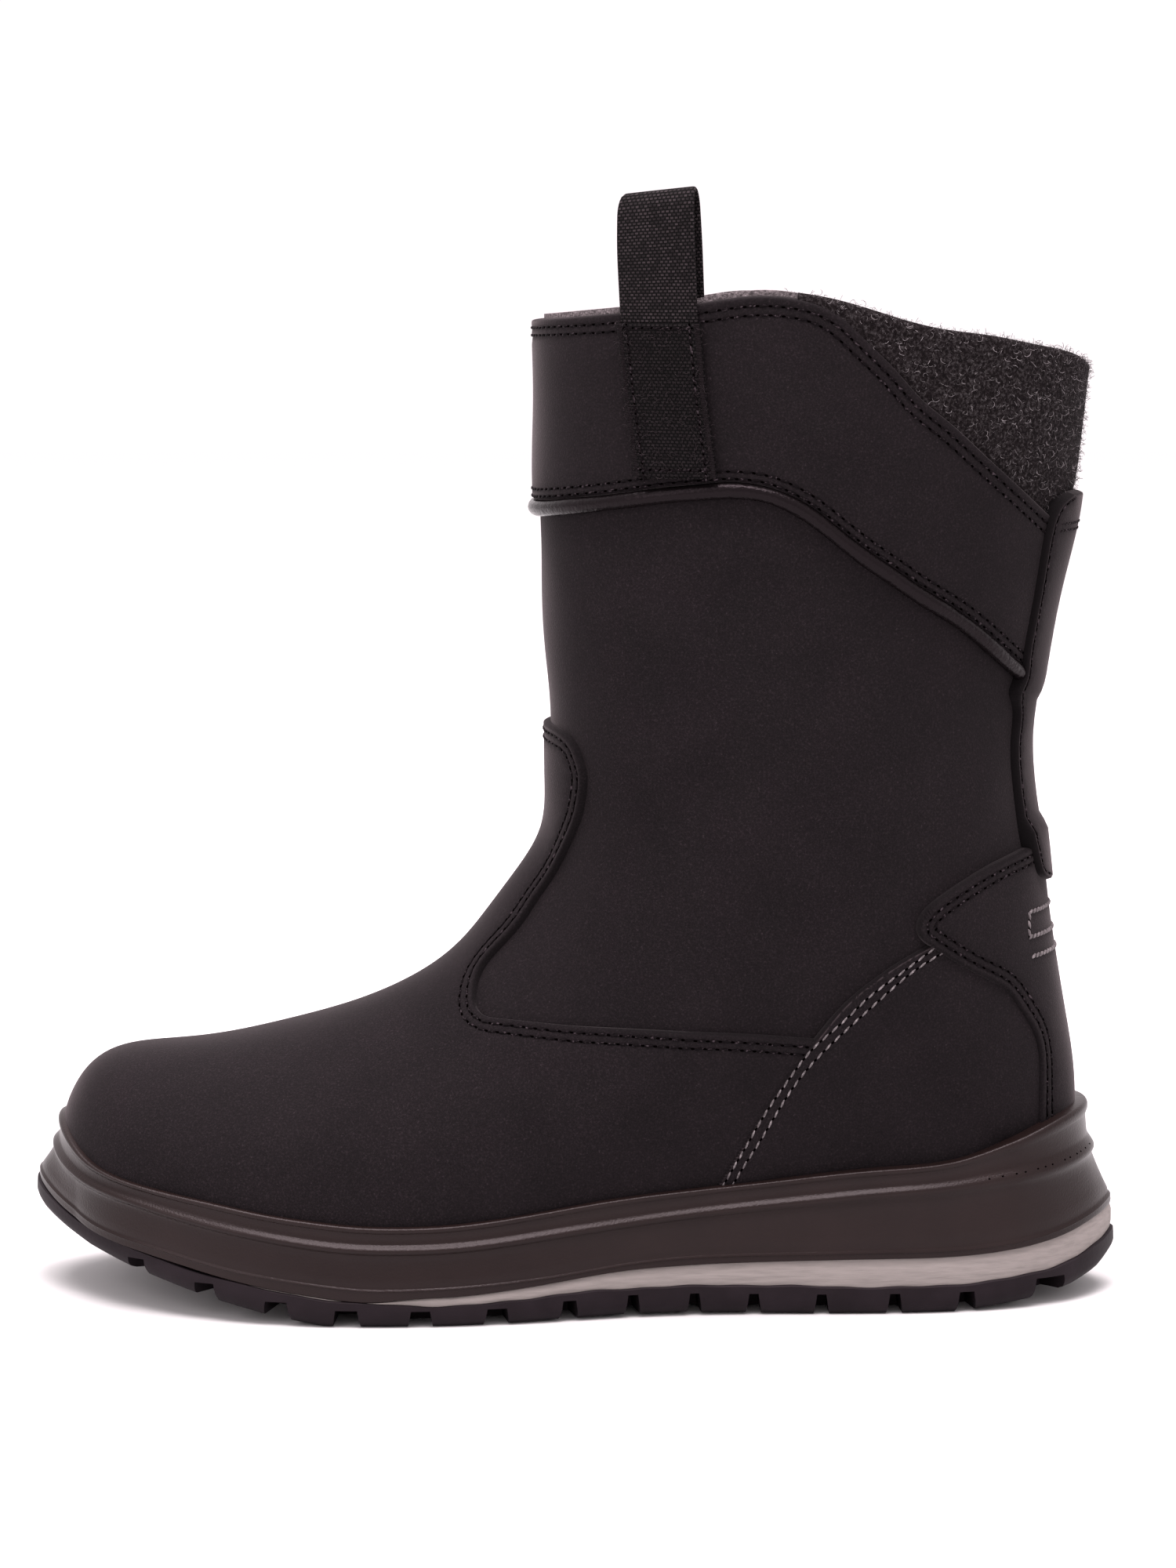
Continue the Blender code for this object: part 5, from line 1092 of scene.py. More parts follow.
def section_at(turn, line, low=10.0):
    """Section numbers at which columns at given turns cross a side-view line."""
    rows = LAST.at[LAST.at >= low]
    found = []
    for u in turn:
        points = LAST.sample(np.stack((rows, np.full_like(rows, u)), axis=1))[0]
        above = points[:, 2] - height_on(line, points[:, 0])
        i = np.nonzero(above < 0)[0][-1]
        t = above[i] / (above[i] - above[i + 1]) if i + 1 < len(rows) else 0.0
        found.append(rows[i] + t * (rows[1] - rows[0]))
    return np.array(found)


# Sections of the wall's lower rows, over the foot and up to where the form is closed; its rows above that
FOOT_ROWS = np.concatenate((np.linspace(1.9, 9.0, 40), np.linspace(9.2, CLOSED_FROM, 36)))
SHAFT_ROWS = 56


def shell_around(name, outer, inner, top_line, rise, columns):
    """Closed wall of the shaft and foot between two heights off the bare form, up to a line."""
    turns = np.linspace(0, 2, columns)
    tops = section_at(turns, top_line + (0, rise))
    rows = [np.full_like(turns, s) for s in FOOT_ROWS]
    rows += [CLOSED_FROM + (tops - CLOSED_FROM) * k for k in np.linspace(0, 1, SHAFT_ROWS)[1:]]
    su = np.stack((np.array(rows), np.broadcast_to(turns, (len(rows), len(turns)))), axis=-1)
    index = np.arange(su.shape[0] * su.shape[1]).reshape(su.shape[:2])
    closed = su[:, 0, 0] >= CLOSED_FROM - 1e-9
    index[closed, -1] = index[closed, 0]
    flat = su.reshape(-1, 2)
    points, faces = closed_shell(on_last(flat, outer), on_last(flat, inner), grid_faces(index.tolist()))
    used = sorted({v for face in faces for v in face})
    renumber = {v: i for i, v in enumerate(used)}
    return make_mesh(name, points[used], [[renumber[v] for v in face] for face in faces])


def tube(path, out, radius, sides=14):
    """Points and faces of a capped round tube; out holds a direction away from the form at each point."""
    run = np.gradient(path, axis=0)
    run /= np.linalg.norm(run, axis=1)[:, None]
    across = np.cross(run, out)
    across /= np.linalg.norm(across, axis=1)[:, None]
    turn = np.linspace(0, 2 * math.pi, sides, endpoint=False)
    ring = np.cos(turn)[None, :, None] * out[:, None] + np.sin(turn)[None, :, None] * across[:, None]
    points = (path[:, None] + ring * np.asarray(radius).reshape(-1, 1, 1)).reshape(-1, 3)
    index = np.arange(len(points)).reshape(len(path), sides)
    faces = grid_faces(np.concatenate((index, index[:, :1]), axis=1).tolist())
    return points, faces + [index[0].tolist(), index[-1][::-1].tolist()]


# The piping's middle below the cuff's edge and off the bare form, its radius, and how uneven that is
PIPING_DROP = 1.95
PIPING_LIFT = 1.15
PIPING_RADIUS = 2.0
PIPING_UNEVEN = 0.10


def piping_mesh():
    """Padded cord under the cuff, slightly uneven as sewn."""
    line = LINES["piping"] - (0, PIPING_DROP)
    half = [trace(part_of(line, (FRONT_X, 200.2), (114.5, 156.2)), side) for side in (0, 1)]
    su = even(np.concatenate((half[0][::-1], half[1][1:])), 1.3)
    path, normals = on_last(su, PIPING_LIFT), LAST.sample(su)[1]
    along = run_length(path)
    radius = PIPING_RADIUS + PIPING_UNEVEN * np.sin(along / 4.7) * np.sin(along / 11.3 + 1.0)
    return make_mesh("piping", *tube(path, normals, radius))


# The felt collar: where its front ends meet the cuff; its foot under the upper's top, the round of its edge
# under the line of its top, and how far it goes down inside
FELT_FRONT = (53.5, 252.2)
FELT_FOOT = 4.0
FELT_ROUND = 1.2
FELT_INSIDE = 26
# Its outer face by share of the height, with the lift off the bare form; rise, middle and half thickness of
# its rounded top edge; its inner face by share of the way down, and the lifts of that and of its end
FELT_ROWS = ((0.0, 0.2), (0.1, 0.5), (0.2, 1.0), (0.35, 1.2), (0.55, 1.25), (0.75, 1.25), (0.9, 1.2))
FELT_EDGE = (1.5, -0.9, 2.1)
FELT_INNER_ROWS = (0.15, 0.4, 0.7, 1.0)
FELT_INNER_LIFT = -3.0
FELT_END_LIFT = -2.0
# Fibres as shares of their density, inside and on the top edge; where above the cuff they begin, and fade in
FIBRES_INSIDE = 0.35
FIBRES_ON_EDGE = 1.5
FIBRE_START = 0.6
FIBRE_FADE = 1.2


def felt_mesh():
    """Felt that stands above the cuff around the back and goes on down inside."""
    front = [LAST.find(np.array((FELT_FRONT,)), side)[0][0, 1] for side in (0, 1)]
    turns = np.linspace(front[0], front[1] - 2, 200)
    wrapped = np.where(turns < 0, turns + 2, turns)
    low = section_at(wrapped, LINES["upper_top"] - (0, FELT_FOOT))
    top = section_at(wrapped, LINES["felt_top"] - (0, FELT_ROUND))
    tops, step = np.stack((top, wrapped), axis=1), 0.05
    one_mm = step / np.linalg.norm(LAST.sample(tops)[0] - LAST.sample(tops - (step, 0))[0], axis=1)
    end = low - one_mm * FELT_INSIDE
    rise, middle, half = FELT_EDGE
    rows = [(low + (top - low) * share, lift) for share, lift in FELT_ROWS]
    for angle in np.linspace(0, math.pi, 9):
        rows.append((top + one_mm * rise * math.sin(angle), middle + half * math.cos(angle)))
    rows += [(top + (end - top) * share, FELT_INNER_LIFT - 0.1 * share) for share in FELT_INNER_ROWS]
    rows.append((end, FELT_END_LIFT))
    places = np.array([row[0] for row in rows])
    su = np.stack((places, np.broadcast_to(wrapped, places.shape)), axis=-1)
    lift = np.repeat([row[1] for row in rows], len(wrapped))
    points = on_last(su.reshape(-1, 2), lift)
    index = np.arange(len(points)).reshape(places.shape)
    faces = grid_faces(np.concatenate((index, index[:1]), axis=0).tolist())
    faces += [index[:, 0].tolist(), index[:, -1][::-1].tolist()]
    above = points[:, 2] - height_on(LINES["cuff_top"], points[:, 0])
    bare = np.where(lift < -1.5, FIBRES_INSIDE, np.clip((above - FIBRE_START) / FIBRE_FADE, 0, 1))
    bare[index[len(FELT_ROWS):len(FELT_ROWS) + 7]] *= FIBRES_ON_EDGE
    return make_mesh("felt_band", points, faces, sharp=70, bare=bare)


def loop_middle(z):
    """x of the pull loop's middle at a height."""
    return np.interp(z, *zip(*LOOP_CENTRE))


def loop_mesh():
    """Folded webbing with its two woven faces and rounded selvedges, its weave map in millimetres."""
    middle = smooth_line(LOOP_PATH, 150)
    along = run_length(middle)
    step = np.gradient(middle, axis=0)
    step /= np.linalg.norm(step, axis=1)[:, None]
    across = np.concatenate(((-0.5, -0.492, -0.475), np.linspace(-0.45, 0.45, 19), (0.475, 0.492, 0.5)))
    thin = np.interp(np.abs(across), (0.45, 0.475, 0.492, 0.5), (1.0, 0.9, 0.62, 0.25))
    points, weave = [], []
    for layer in (-1, 1):
        for (out, z), (run_out, run_z), far in zip(middle, step, along):
            shift = STRAP_THICKNESS * (0.5 + layer * thin / 2)
            slant = LOOP_SLANT * (across - 0.5) * np.clip((z - SLANT_FROM) / SLANT_OVER, 0, 1)
            level = z - run_out * shift + slant
            x = loop_middle(z) + STRAP_WIDTH * across
            su = LAST.find(np.stack((x, np.minimum(level, WALL_TOP)), axis=1), 0)[0]
            wall, normal = LAST.sample(su)
            place = wall + normal * (out + run_z * shift)[:, None]
            points.append(np.stack((place[:, 0], place[:, 1], level), axis=1))
            weave += [(STRAP_WIDTH * k, far) for k in across]
    count, width = len(middle), len(across)
    index = np.arange(2 * count * width).reshape(2, count, width)
    ring = np.concatenate((index[0], index[1][:, ::-1], index[0][:, :1]), axis=1)
    faces = grid_faces(ring.tolist()) + [ring[0, :-1].tolist(), ring[-1, :-1][::-1].tolist()]
    return weave_mapped("pull_tape", np.concatenate(points), faces, weave)


def weave_mapped(name, points, faces, weave, **marks):
    """Mesh with a map of its weave in millimetres, one place for each point."""
    mesh = make_mesh(name, points, faces, **marks)
    by_place = tree_of(points * MM)
    layer = mesh.uv_layers.new(name="weave")
    corner_points = np.empty(len(mesh.loops), int)
    mesh.loops.foreach_get("vertex_index", corner_points)
    own = np.array([weave[by_place.find(v.co)[1]] for v in mesh.vertices])
    layer.data.foreach_set("uv", own[corner_points].astype(np.float32).ravel())
    return mesh


def loop_line(across, low, high, count):
    """Places along the loop's lower half at a share of its width from its middle."""
    z = np.linspace(low, high, count)
    return LAST.find(np.column_stack((loop_middle(z) + STRAP_WIDTH * across, z)), 0)[0]


def patch_mesh():
    """Sewn patch over the loop's lower half, thin at its border."""
    across = np.concatenate(((-PATCH_HALF, -0.52), np.linspace(-0.49, 0.49, 21), (0.52, PATCH_HALF)))
    su = np.array([loop_line(k, *PATCH_ENDS, PATCH_ROWS) for k in across])
    index = np.arange(su.shape[0] * su.shape[1]).reshape(su.shape[:2])
    from_end = np.minimum(np.arange(PATCH_ROWS), np.arange(PATCH_ROWS)[::-1])
    border = np.minimum(PATCH_HALF - np.abs(across)[:, None], from_end[None, :] * PATCH_BORDER)
    lift = LOOP_FACE + 0.1 + 0.45 * np.clip(border / PATCH_BORDER, 0, 1)
    flat = su.reshape(-1, 2)
    points, faces = closed_shell(on_last(flat, lift.reshape(-1)), on_last(flat, LOOP_FACE - 0.5),
                                 grid_faces(index.tolist()))
    weave = [(STRAP_WIDTH * k, z) for k in across for z in np.linspace(*PATCH_ENDS, PATCH_ROWS)] * 2
    return weave_mapped("loop_patch", points, faces, weave, bare=np.repeat((1.0, 0.0), len(flat)))


# Sole

def plan_outline(count):
    """Even points around the sole's widest outline."""
    points = list(OUTLINE_LAT) + list(OUTLINE_MED)
    wrapped = np.array(points[-4:] + points + points[:5], float)
    along = run_length(wrapped)
    dense = Spline(along, wrapped)(np.linspace(along[4], along[4 + len(points)], 3000))
    far = run_length(dense)
    return resampled(dense, np.linspace(0, far[-1], count, endpoint=False), far)


class SoleRays:
    """Rays from the sole's spine to its widest outline, with the sole's lines at the edge."""

    def __init__(self, count=520):
        self.edge = plan_outline(count)
        x = np.clip(self.edge[:, 0], TOE_CENTRE[0], HEEL_CENTRE[0])
        y = np.interp(x, (TOE_CENTRE[0], HEEL_CENTRE[0]), (TOE_CENTRE[1], HEEL_CENTRE[1]))
        self.centre = np.stack((x, y), axis=1)
        self.far = np.linalg.norm(self.edge - self.centre, axis=1)
        self.direction = (self.edge - self.centre) / self.far[:, None]

    def at(self, reach):
        """Plan points at a distance along each ray."""
        return self.centre + self.direction * np.asarray(reach)[..., None]

    def row(self, reach, height):
        """Points of a profile at a distance along each ray; the height may be a function of x."""
        plan = self.at(reach)
        return np.column_stack((plan, height(plan[:, 0]) if callable(height) else height))

    def reach(self, curve):
        """Distance along each ray to a closed plan curve."""
        step = np.roll(curve, -1, axis=0) - curve
        found = np.empty(len(self.far))
        for n, (centre, direction) in enumerate(zip(self.centre, self.direction)):
            start = curve - centre
            det = direction[0] * step[:, 1] - direction[1] * step[:, 0]
            det = np.where(np.abs(det) < 1e-12, 1e-12, det)
            along = (start[:, 0] * step[:, 1] - start[:, 1] * step[:, 0]) / det
            k = (start[:, 0] * direction[1] - start[:, 1] * direction[0]) / det
            found[n] = along[(k >= -1e-9) & (k <= 1 + 1e-9) & (along > 0)].max()
        return found


SOLE = Spline([row[0] for row in SOLE_LINES], [row[1:] for row in SOLE_LINES])


def sole_line(name, x):
    """Height of one of the sole's named lines at x."""
    x = np.clip(x, SOLE_LINES[0][0], SOLE_LINES[-1][0])
    column = SOLE_COLUMNS.index(name)
    if name == "ground":
        return np.interp(x, [row[0] for row in SOLE_LINES], [row[column] for row in SOLE_LINES])
    return SOLE(x)[..., column - 1]


def feather(x):
    """Height of the upper's lower edge at x."""
    low = range(CLOSED_FROM + 1)
    return np.interp(x, [SECTIONS[0][1]] + [SECTIONS[s][3] for s in low],
                     [SECTIONS[0][2]] + [SECTIONS[s][4] for s in low])


def floor_height(x):
    """Height of the cup's floor at x, level under the heel."""
    return np.where(x > HEEL_CENTRE[0], np.minimum(feather(x), feather(HEEL_CENTRE[0]) + 0.4), feather(x))


def level_height(x, share):
    """Height at x of the line a share of the way from the feather line to the rim."""
    return feather(x) + share * (height_on(LINES["rim"], x) - feather(x))


def level_curve(share):
    """Closed plan curve on the bare form at a share of the way from the feather line to the rim."""
    halves = []
    for side in (0, 1):
        if share == 0:
            toe = np.stack((np.zeros(120), np.linspace(1, 2.0 * side, 120)), axis=1)[:-1]
            base = np.stack((np.linspace(0, CLOSED_FROM, 400), np.full(400, 2.0 * side)), axis=1)
            run = np.concatenate((toe, base))
        else:
            x = np.linspace(-136, 131, 900)
            run = trace(np.stack((x, level_height(x, share)), axis=1), side)
            run = even(run, 0.8)
        halves.append(LAST.sample(run)[0][:, :2])
    return np.concatenate((halves[0], halves[1][::-1]))


def ring_cap(points, ring):
    """Triangles that close a ring of point numbers, laid out in plan."""
    plan = [points[v][:2].tolist() for v in ring]
    cut = geometry.delaunay_2d_cdt(plan, [], [list(range(len(ring)))], 1, 1e-6)
    return [[ring[cut[3][v][0]] for v in face] for face in cut[2]]


def ray_mesh(name, profiles, closed=True, sharp=40):
    """Solid closed across the spine, from an array of profile point, ray and coordinate."""
    points = profiles.transpose(1, 0, 2).reshape(-1, 3)
    index = np.arange(len(points)).reshape(profiles.shape[1], profiles.shape[0])
    faces = grid_faces((np.concatenate((index, index[:1])) if closed else index).tolist())
    if not closed:
        faces += [index[0].tolist(), index[-1][::-1].tolist()]
        faces.append(index[[0, -1, -1, 0], [0, 0, -1, -1]].tolist())
    for ring in (index[:, 0], index[:, -1]):
        faces += ring_cap(points, ring.tolist())
    return make_mesh(name, points, faces, sharp)


# Side of the midsole from the bottom up, between two named lines at a time: height as a share of the way,
# place from the rim (0) to the widest outline (1), and how far it stands out beyond that
CUP_PROFILE = (
    ("midsole_bottom", "low_line", (
        (0.0, 0.84, -0.4), (0.10, 0.875, -0.05), (0.45, 0.885, 0.05), (0.85, 0.875, 0.0),
        (0.95, 0.86, 0.1))),
    ("low_line", "rib", (
        (0.0, 0.845, 0.28), (0.025, 0.83, 0.24), (0.05, 0.81, -0.02), (0.075, 0.795, -0.12),
        (0.12, 0.765, 0.0), (0.3, 0.62, -0.1), (0.5, 0.47, -0.2), (0.68, 0.34, -0.25), (0.79, 0.26, -0.2),
        (0.85, 0.225, 0.05), (0.89, 0.205, 0.5), (0.93, 0.185, 0.9), (0.97, 0.165, 1.0))),
    ("rib", "rim", (
        (0.0, 0.15, 0.95), (0.07, 0.125, 0.65), (0.14, 0.10, 0.3), (0.21, 0.08, -0.05), (0.27, 0.065, -0.2),
        (0.5, 0.03, -0.2), (0.68, 0.0, -0.15), (0.745, 0.0, 0.1), (0.82, 0.0, 0.4), (0.90, 0.0, 0.42),
        (0.96, 0.0, 0.2), (0.99, 0.0, -0.15), (1.0, 0.0, -0.5))),
)
# The ledge above the rib in that profile, and the mould's vents along it around the heel by x on the outline
LEDGE = ("rim", 0.07)
VENTS = (104.5, 107.0, 110.5, 113.0, 116.5, 118.5, 121.0, 124.5, 126.5, 129.5, 131.0, 133.5, 136.0)
# Gaps from the upper to the rim and to the cup's inner wall, and the floor's depth under the upper
RIM_GAP = 0.45
CUP_GAP = 1.1
FLOOR_GAP = 0.3


def cup_mesh(rays):
    """Moulded cup sole: lip, parting line, concave wall, rib, upper wall and beaded rim."""
    edge_x = rays.edge[:, 0]
    inner = []
    for share in CUP_LEVELS:
        reach = rays.reach(level_curve(share))
        gap = RIM_GAP if share == 1 else CUP_GAP
        inner.append((reach + gap, level_height(rays.at(reach)[:, 0], share)))
    rim_reach = inner[0][0] + sole_line("rim_width", edge_x)
    heights = {name: sole_line(name, edge_x) for name in ("midsole_bottom", "low_line", "rib")}
    heights["rim"] = inner[0][1]
    rows = [rays.row(rays.far * share, partial(sole_line, "midsole_bottom")) for share in (0.4, 0.8)]
    for low, high, profile in CUP_PROFILE:
        for blend, flare, proud in profile:
            reach = rim_reach + np.maximum(rays.far - rim_reach, 0) * flare + proud
            rows.append(rays.row(reach, heights[low] + (heights[high] - heights[low]) * blend))
            if (high, blend) == LEDGE:
                add_vents(rays, rows[-1])
    rows += [rays.row(reach, z) for reach, z in inner]
    rows += [rays.row(inner[-1][0] * share, lambda x: floor_height(x) - FLOOR_GAP) for share in (1.0, 0.4)]
    return ray_mesh("cup_sole", np.array(rows))


def add_vents(rays, ledge):
    """Places of the pinholes that the mould's vents leave along the ledge, drawn as black dots of painted
    shade.
    """
    run = np.roll(ledge, -1, axis=0) - np.roll(ledge, 1, axis=0)
    up = np.column_stack((rays.direction, np.full(len(ledge), 0.9)))
    for sign in (-1, 1):
        side = np.nonzero(rays.edge[:, 1] * sign > 0)[0]
        picked = [side[np.argmin(np.abs(rays.edge[side, 0] - x))] for x in VENTS]
        SEAMS.add_points("painted_vent_shade", ledge[picked], run[picked], up[picked])


def glue_line(plan):
    """Slight unevenness of the edge between the light layer and the rubber."""
    x, y = plan[:, 0], plan[:, 1]
    return 0.22 * np.sin(x / 6.3 + y / 9.0) * np.sin(x / 15.7 + 0.8) + 0.10 * np.sin(x / 2.1 + y / 3.0)


def layer_rows(rays, name, inset, shift, wavy=0.0):
    """Profile rows of one face of a sole layer, from the spine to the edge."""
    rows = [rays.row(rays.far * share, lambda x: sole_line(name, x) + shift) for share in (0.4, 0.9)]
    edge = sole_line(name, rays.edge[:, 0]) + shift + wavy * glue_line(rays.at(rays.far - inset))
    return rows + [rays.row(rays.far - inset, edge)]


# The wedge's insets from the widest outline below, at its bulge and above, and its least thickness
WEDGE_INSETS = (1.0, 0.75, 1.2)
WEDGE_THIN = 0.02


def wedge_mesh(rays):
    """Light foam layer between the cup and the rubber, from the ball to the heel."""
    keep = np.nonzero(rays.edge[:, 0] >= WEDGE_FRONT_X)[0]
    start = int(np.nonzero(np.diff(keep) > 1)[0][0]) + 1
    order = np.concatenate((keep[start:], keep[:start]))
    below, beside, above = WEDGE_INSETS
    low = layer_rows(rays, "outsole_top", below, WEDGE_THIN, 1.0)
    high = layer_rows(rays, "midsole_bottom", above, -WEDGE_THIN)
    bulge = [rays.row(rays.far - beside, low[-1][:, 2] * (1 - k) + high[-1][:, 2] * k) for k in (0.25, 0.75)]
    rows = np.array(low + bulge + high[::-1])[:, order]
    rows[len(low):, :, 2] = np.maximum(rows[len(low):, :, 2], rows[len(low) - 1, :, 2] + WEDGE_THIN)
    return ray_mesh("light_wedge", rows, closed=False)


# A gap's cutter starts this far under the ground, and is wider below and narrower above than the gap
CUT_BELOW = 3.0
CUT_WIDER = 1.6
CUT_NARROWER = 0.9


def box_corners(centre, direction, near, far, width, bottom, top):
    """Corners of an upright box that runs along a plan direction, wider below."""
    across = np.array((-direction[1], direction[0])) / 2
    points = []
    for z, wide in ((bottom, width + CUT_WIDER), (top, width - CUT_NARROWER)):
        points += [np.array((*(centre + direction * run + across * wide * side), z))
                   for run, side in ((near, -1), (far, -1), (far, 1), (near, 1))]
    return points


def gap_boxes():
    """Boxes that cut the gaps between the lugs along both edges."""
    outline = plan_outline(900)
    turned = np.roll(outline, -1, axis=0) - np.roll(outline, 1, axis=0)
    normals = np.stack((turned[:, 1], -turned[:, 0]), axis=1)
    normals /= np.linalg.norm(normals, axis=1)[:, None]
    if np.dot(normals[0], outline[0] - outline.mean(axis=0)) < 0:
        normals = -normals
    boxes = []
    for x, width, depth in LUG_GAPS:
        for sign in (-1, 1):
            pick = np.nonzero((outline[:, 1] - 4) * sign > 0)[0]
            i = pick[np.argmin(np.abs(outline[pick, 0] - x))]
            ground = float(sole_line("ground", x))
            reach = GAP_REACH + (FOREFOOT_REACH if x < FOREFOOT_X else 0.0)
            boxes.append(box_corners(outline[i], normals[i], -reach, 6, width, ground - CUT_BELOW,
                                     ground + depth + 0.5))
    return boxes


def bar_boxes():
    """Boxes that cut the tread bars across the middle of the forefoot and heel."""
    width, length, depth = TREAD_BAR_SIZE
    boxes = []
    for x in TREAD_BARS:
        half = length / 2 - (HEEL_BAR_SHORTER if x > 0 else 0)
        ground = float(sole_line("ground", x))
        boxes.append(box_corners(np.array((float(x), 0.0)), np.array((0.0, 1.0)), -half, half, width,
                                 ground - CUT_BELOW, ground + depth))
    return boxes


BOX_FACES = ((0, 1, 2, 3), (7, 6, 5, 4), (0, 4, 5, 1), (1, 5, 6, 2), (2, 6, 7, 3), (3, 7, 4, 0))
# The rubber's rounded lower edge by inset and rise off the ground; its side by inset and share of height
TREAD_ROUND = ((1.5, 0.35), (0.75, 1.05), (0.25, 1.9), (0.0, 2.7))
RUBBER_SIDE = ((0.05, 0.5), (0.15, 0.93), (0.5, 1.0))


def outsole_mesh(rays):
    """Rubber slab with rounded lower edge, cut into lugs along both edges and barred across the middle."""
    edge_x = rays.edge[:, 0]
    ground, top = sole_line("ground", edge_x), sole_line("outsole_top", edge_x)
    rows = layer_rows(rays, "ground", 2.4, 0.0)
    for inset, rise in TREAD_ROUND:
        rows.append(rays.row(rays.far - inset, ground + rise))
    start = ground + TREAD_ROUND[-1][1]
    for inset, share in RUBBER_SIDE:
        uneven = glue_line(rays.at(rays.far - inset)) * share
        rows.append(rays.row(rays.far - inset, start + (top - start) * share + uneven))
    rows += layer_rows(rays, "outsole_top", 1.6, 0.0, 1.0)[::-1]
    slab = bpy.data.objects.new("slab", ray_mesh("lugged_outsole", np.array(rows)))
    points, faces = [], []
    for corners in gap_boxes() + bar_boxes():
        faces += [[len(points) + v for v in face] for face in BOX_FACES]
        points += corners
    cutter = bpy.data.objects.new("gaps", make_mesh("gaps", points, faces))
    for thing in (slab, cutter):
        bpy.context.scene.collection.objects.link(thing)
    cut = slab.modifiers.new("lug gaps", "BOOLEAN")
    cut.operation, cut.solver, cut.object = "DIFFERENCE", "EXACT", cutter
    mesh = bpy.data.meshes.new_from_object(slab.evaluated_get(bpy.context.evaluated_depsgraph_get()))
    for thing in (slab, cutter):
        bpy.data.objects.remove(thing)
    mesh.shade_smooth()
    mesh.set_sharp_from_angle(angle=math.radians(32))
    return mesh


# The footbed's gap to the upper's wall; its profile as share of the way out, inset and rise
FOOTBED_GAP = 0.6
FOOTBED_PROFILE = ((0.4, 0, 0.2), (1, 1.0, 0.2), (1, 0.2, 0.9), (1, 0.0, 1.8), (1, 0.2, 2.8), (1, 0.9, 3.6),
                   (1, 2.0, 4.0), (0.4, 0, 4.0))


def footbed_mesh(rays):
    """Felt footbed with a rolled edge."""
    reach = rays.reach(level_curve(0)) - WALL - FOOTBED_GAP
    rows = [rays.row(reach * share - inset, lambda x: floor_height(x) + rise)
            for share, inset, rise in FOOTBED_PROFILE]
    return ray_mesh("footbed", np.array(rows))


# What a user would change

def colour_setting(label, about, hex_colour):
    """A colour that a user may change."""
    return FloatVectorProperty(name=label, description=about, default=linear(hex_colour), size=4,
                               subtype="COLOR", min=0, max=1)


def length_setting(label, about, default, low, high):
    """A length in metres that a user may change."""
    return FloatProperty(name=label, description=about, default=default, min=low, max=high, unit="LENGTH",
                         precision=5)


class BootColours(bpy.types.PropertyGroup):
    """Colours of the boot's materials."""

    nubuck: colour_setting("Nubuck", "Black nubuck of the upper's panels", "#151113")
    piping: colour_setting("Piping", "Smooth leather of the padded piping", "#0d0a0b")
    felt_dark: colour_setting("Felt, dark wool", "Darker wool of the collar's felt", "#181415")
    felt_light: colour_setting("Felt, light wool", "Lighter wool of the collar's felt", "#434041")
    lining: colour_setting("Lining", "Felt lining and footbed", "#7a7274")
    webbing: colour_setting("Webbing", "Tape of the pull loop", "#120f10")
    midsole: colour_setting("Midsole", "Moulded cup sole", "#1a1211")
    wedge: colour_setting("Wedge", "Light foam layer above the rubber", "#867f7c")
    rubber: colour_setting("Rubber", "Lugged outsole", "#110d10")
    dark_thread: colour_setting("Dark thread", "Black sewing thread", "#090708")
    grey_thread: colour_setting("Grey thread", "Light grey contrast thread", "#615c5d")


class BootSizes(bpy.types.PropertyGroup):
    """Sizes of the boot's thread and fibres."""

    stitch_length: length_setting("Stitch length", "Length of one stitch", 0.0024, 0.001, 0.006)
    stitch_width: length_setting("Thread width", "Width of the sewing thread", 0.00068, 0.0002, 0.002)
    stitch_pitch: length_setting("Stitch pitch", "Distance from stitch to stitch", 0.0031, 0.001, 0.008)
    fibre_length: length_setting("Felt fibre", "Radius of a felt fibre's curl", 0.0008, 0.0002, 0.004)
    felt_seed: IntProperty(name="Felt seed", description="Seed of the scattered fibres", default=7, min=0)


# Light grey stitch rows of the foxing in the side view
GREY_ROWS = (
    ((35.4, 30.5), (37.5, 34.5), (43.5, 45.3), (48.2, 53.5), (52.2, 59.5), (58.9, 68.7), (66.9, 75.9),
     (73.8, 82.4), (81.1, 87.9), (88.4, 93.1), (91.2, 94.9)),
    ((37.9, 30.5), (40.2, 35.1), (46.0, 44.8), (55.2, 60.2), (64.0, 70.4), (73.9, 79.4), (83.7, 87.9),
     (90.6, 92.0), (93.6, 93.7)),
)
# The thread box on the heel by level and front edge, its rise to the back, its stitches' pitch and slant
HEEL_BOX = ((99.3, 112.2), (93.1, 112.2), (88.2, 113.0))
HEEL_BOX_RISE = 0.3
HEEL_PITCH = 2.1
HEEL_SLANT = 0.45
# Short rows that close the top of the stay: levels, reach from the back line and pitch
BARTACK_LEVELS = (197.9, 196.2)
BARTACK_REACH = 5.6
BARTACK_PITCH = 1.9


def shared(maker, name, *values):
    """A material made once and used by several pieces."""
    return bpy.data.materials.get(name) or maker(*values)


class BOOT_OT_shaft(bpy.types.Operator):
    """Leather wall of the upper and its felt lining"""

    bl_idname = "boot.shaft"
    bl_label = "Shaft and lining"

    def execute(self, context):
        colours = context.scene.boot_colours
        leather = shared(black_nubuck, "black_nubuck", colours)
        wall = shell_around("shaft", 0.0, -1.5, LINES["cuff_top"], -0.8, columns=241)
        piece_from("shaft_leather", wall, leather, ("upper",))
        felt = wool_felt("lining_felt", tinted(colours.lining, 0.8), tinted(colours.lining, 1.7))
        lining = shell_around("lining", -1.3, -WALL - 0.3, LINES["cuff_top"], 1.2, columns=161)
        piece_from("shaft_lining", lining, felt, ("upper",))
        return {"FINISHED"}


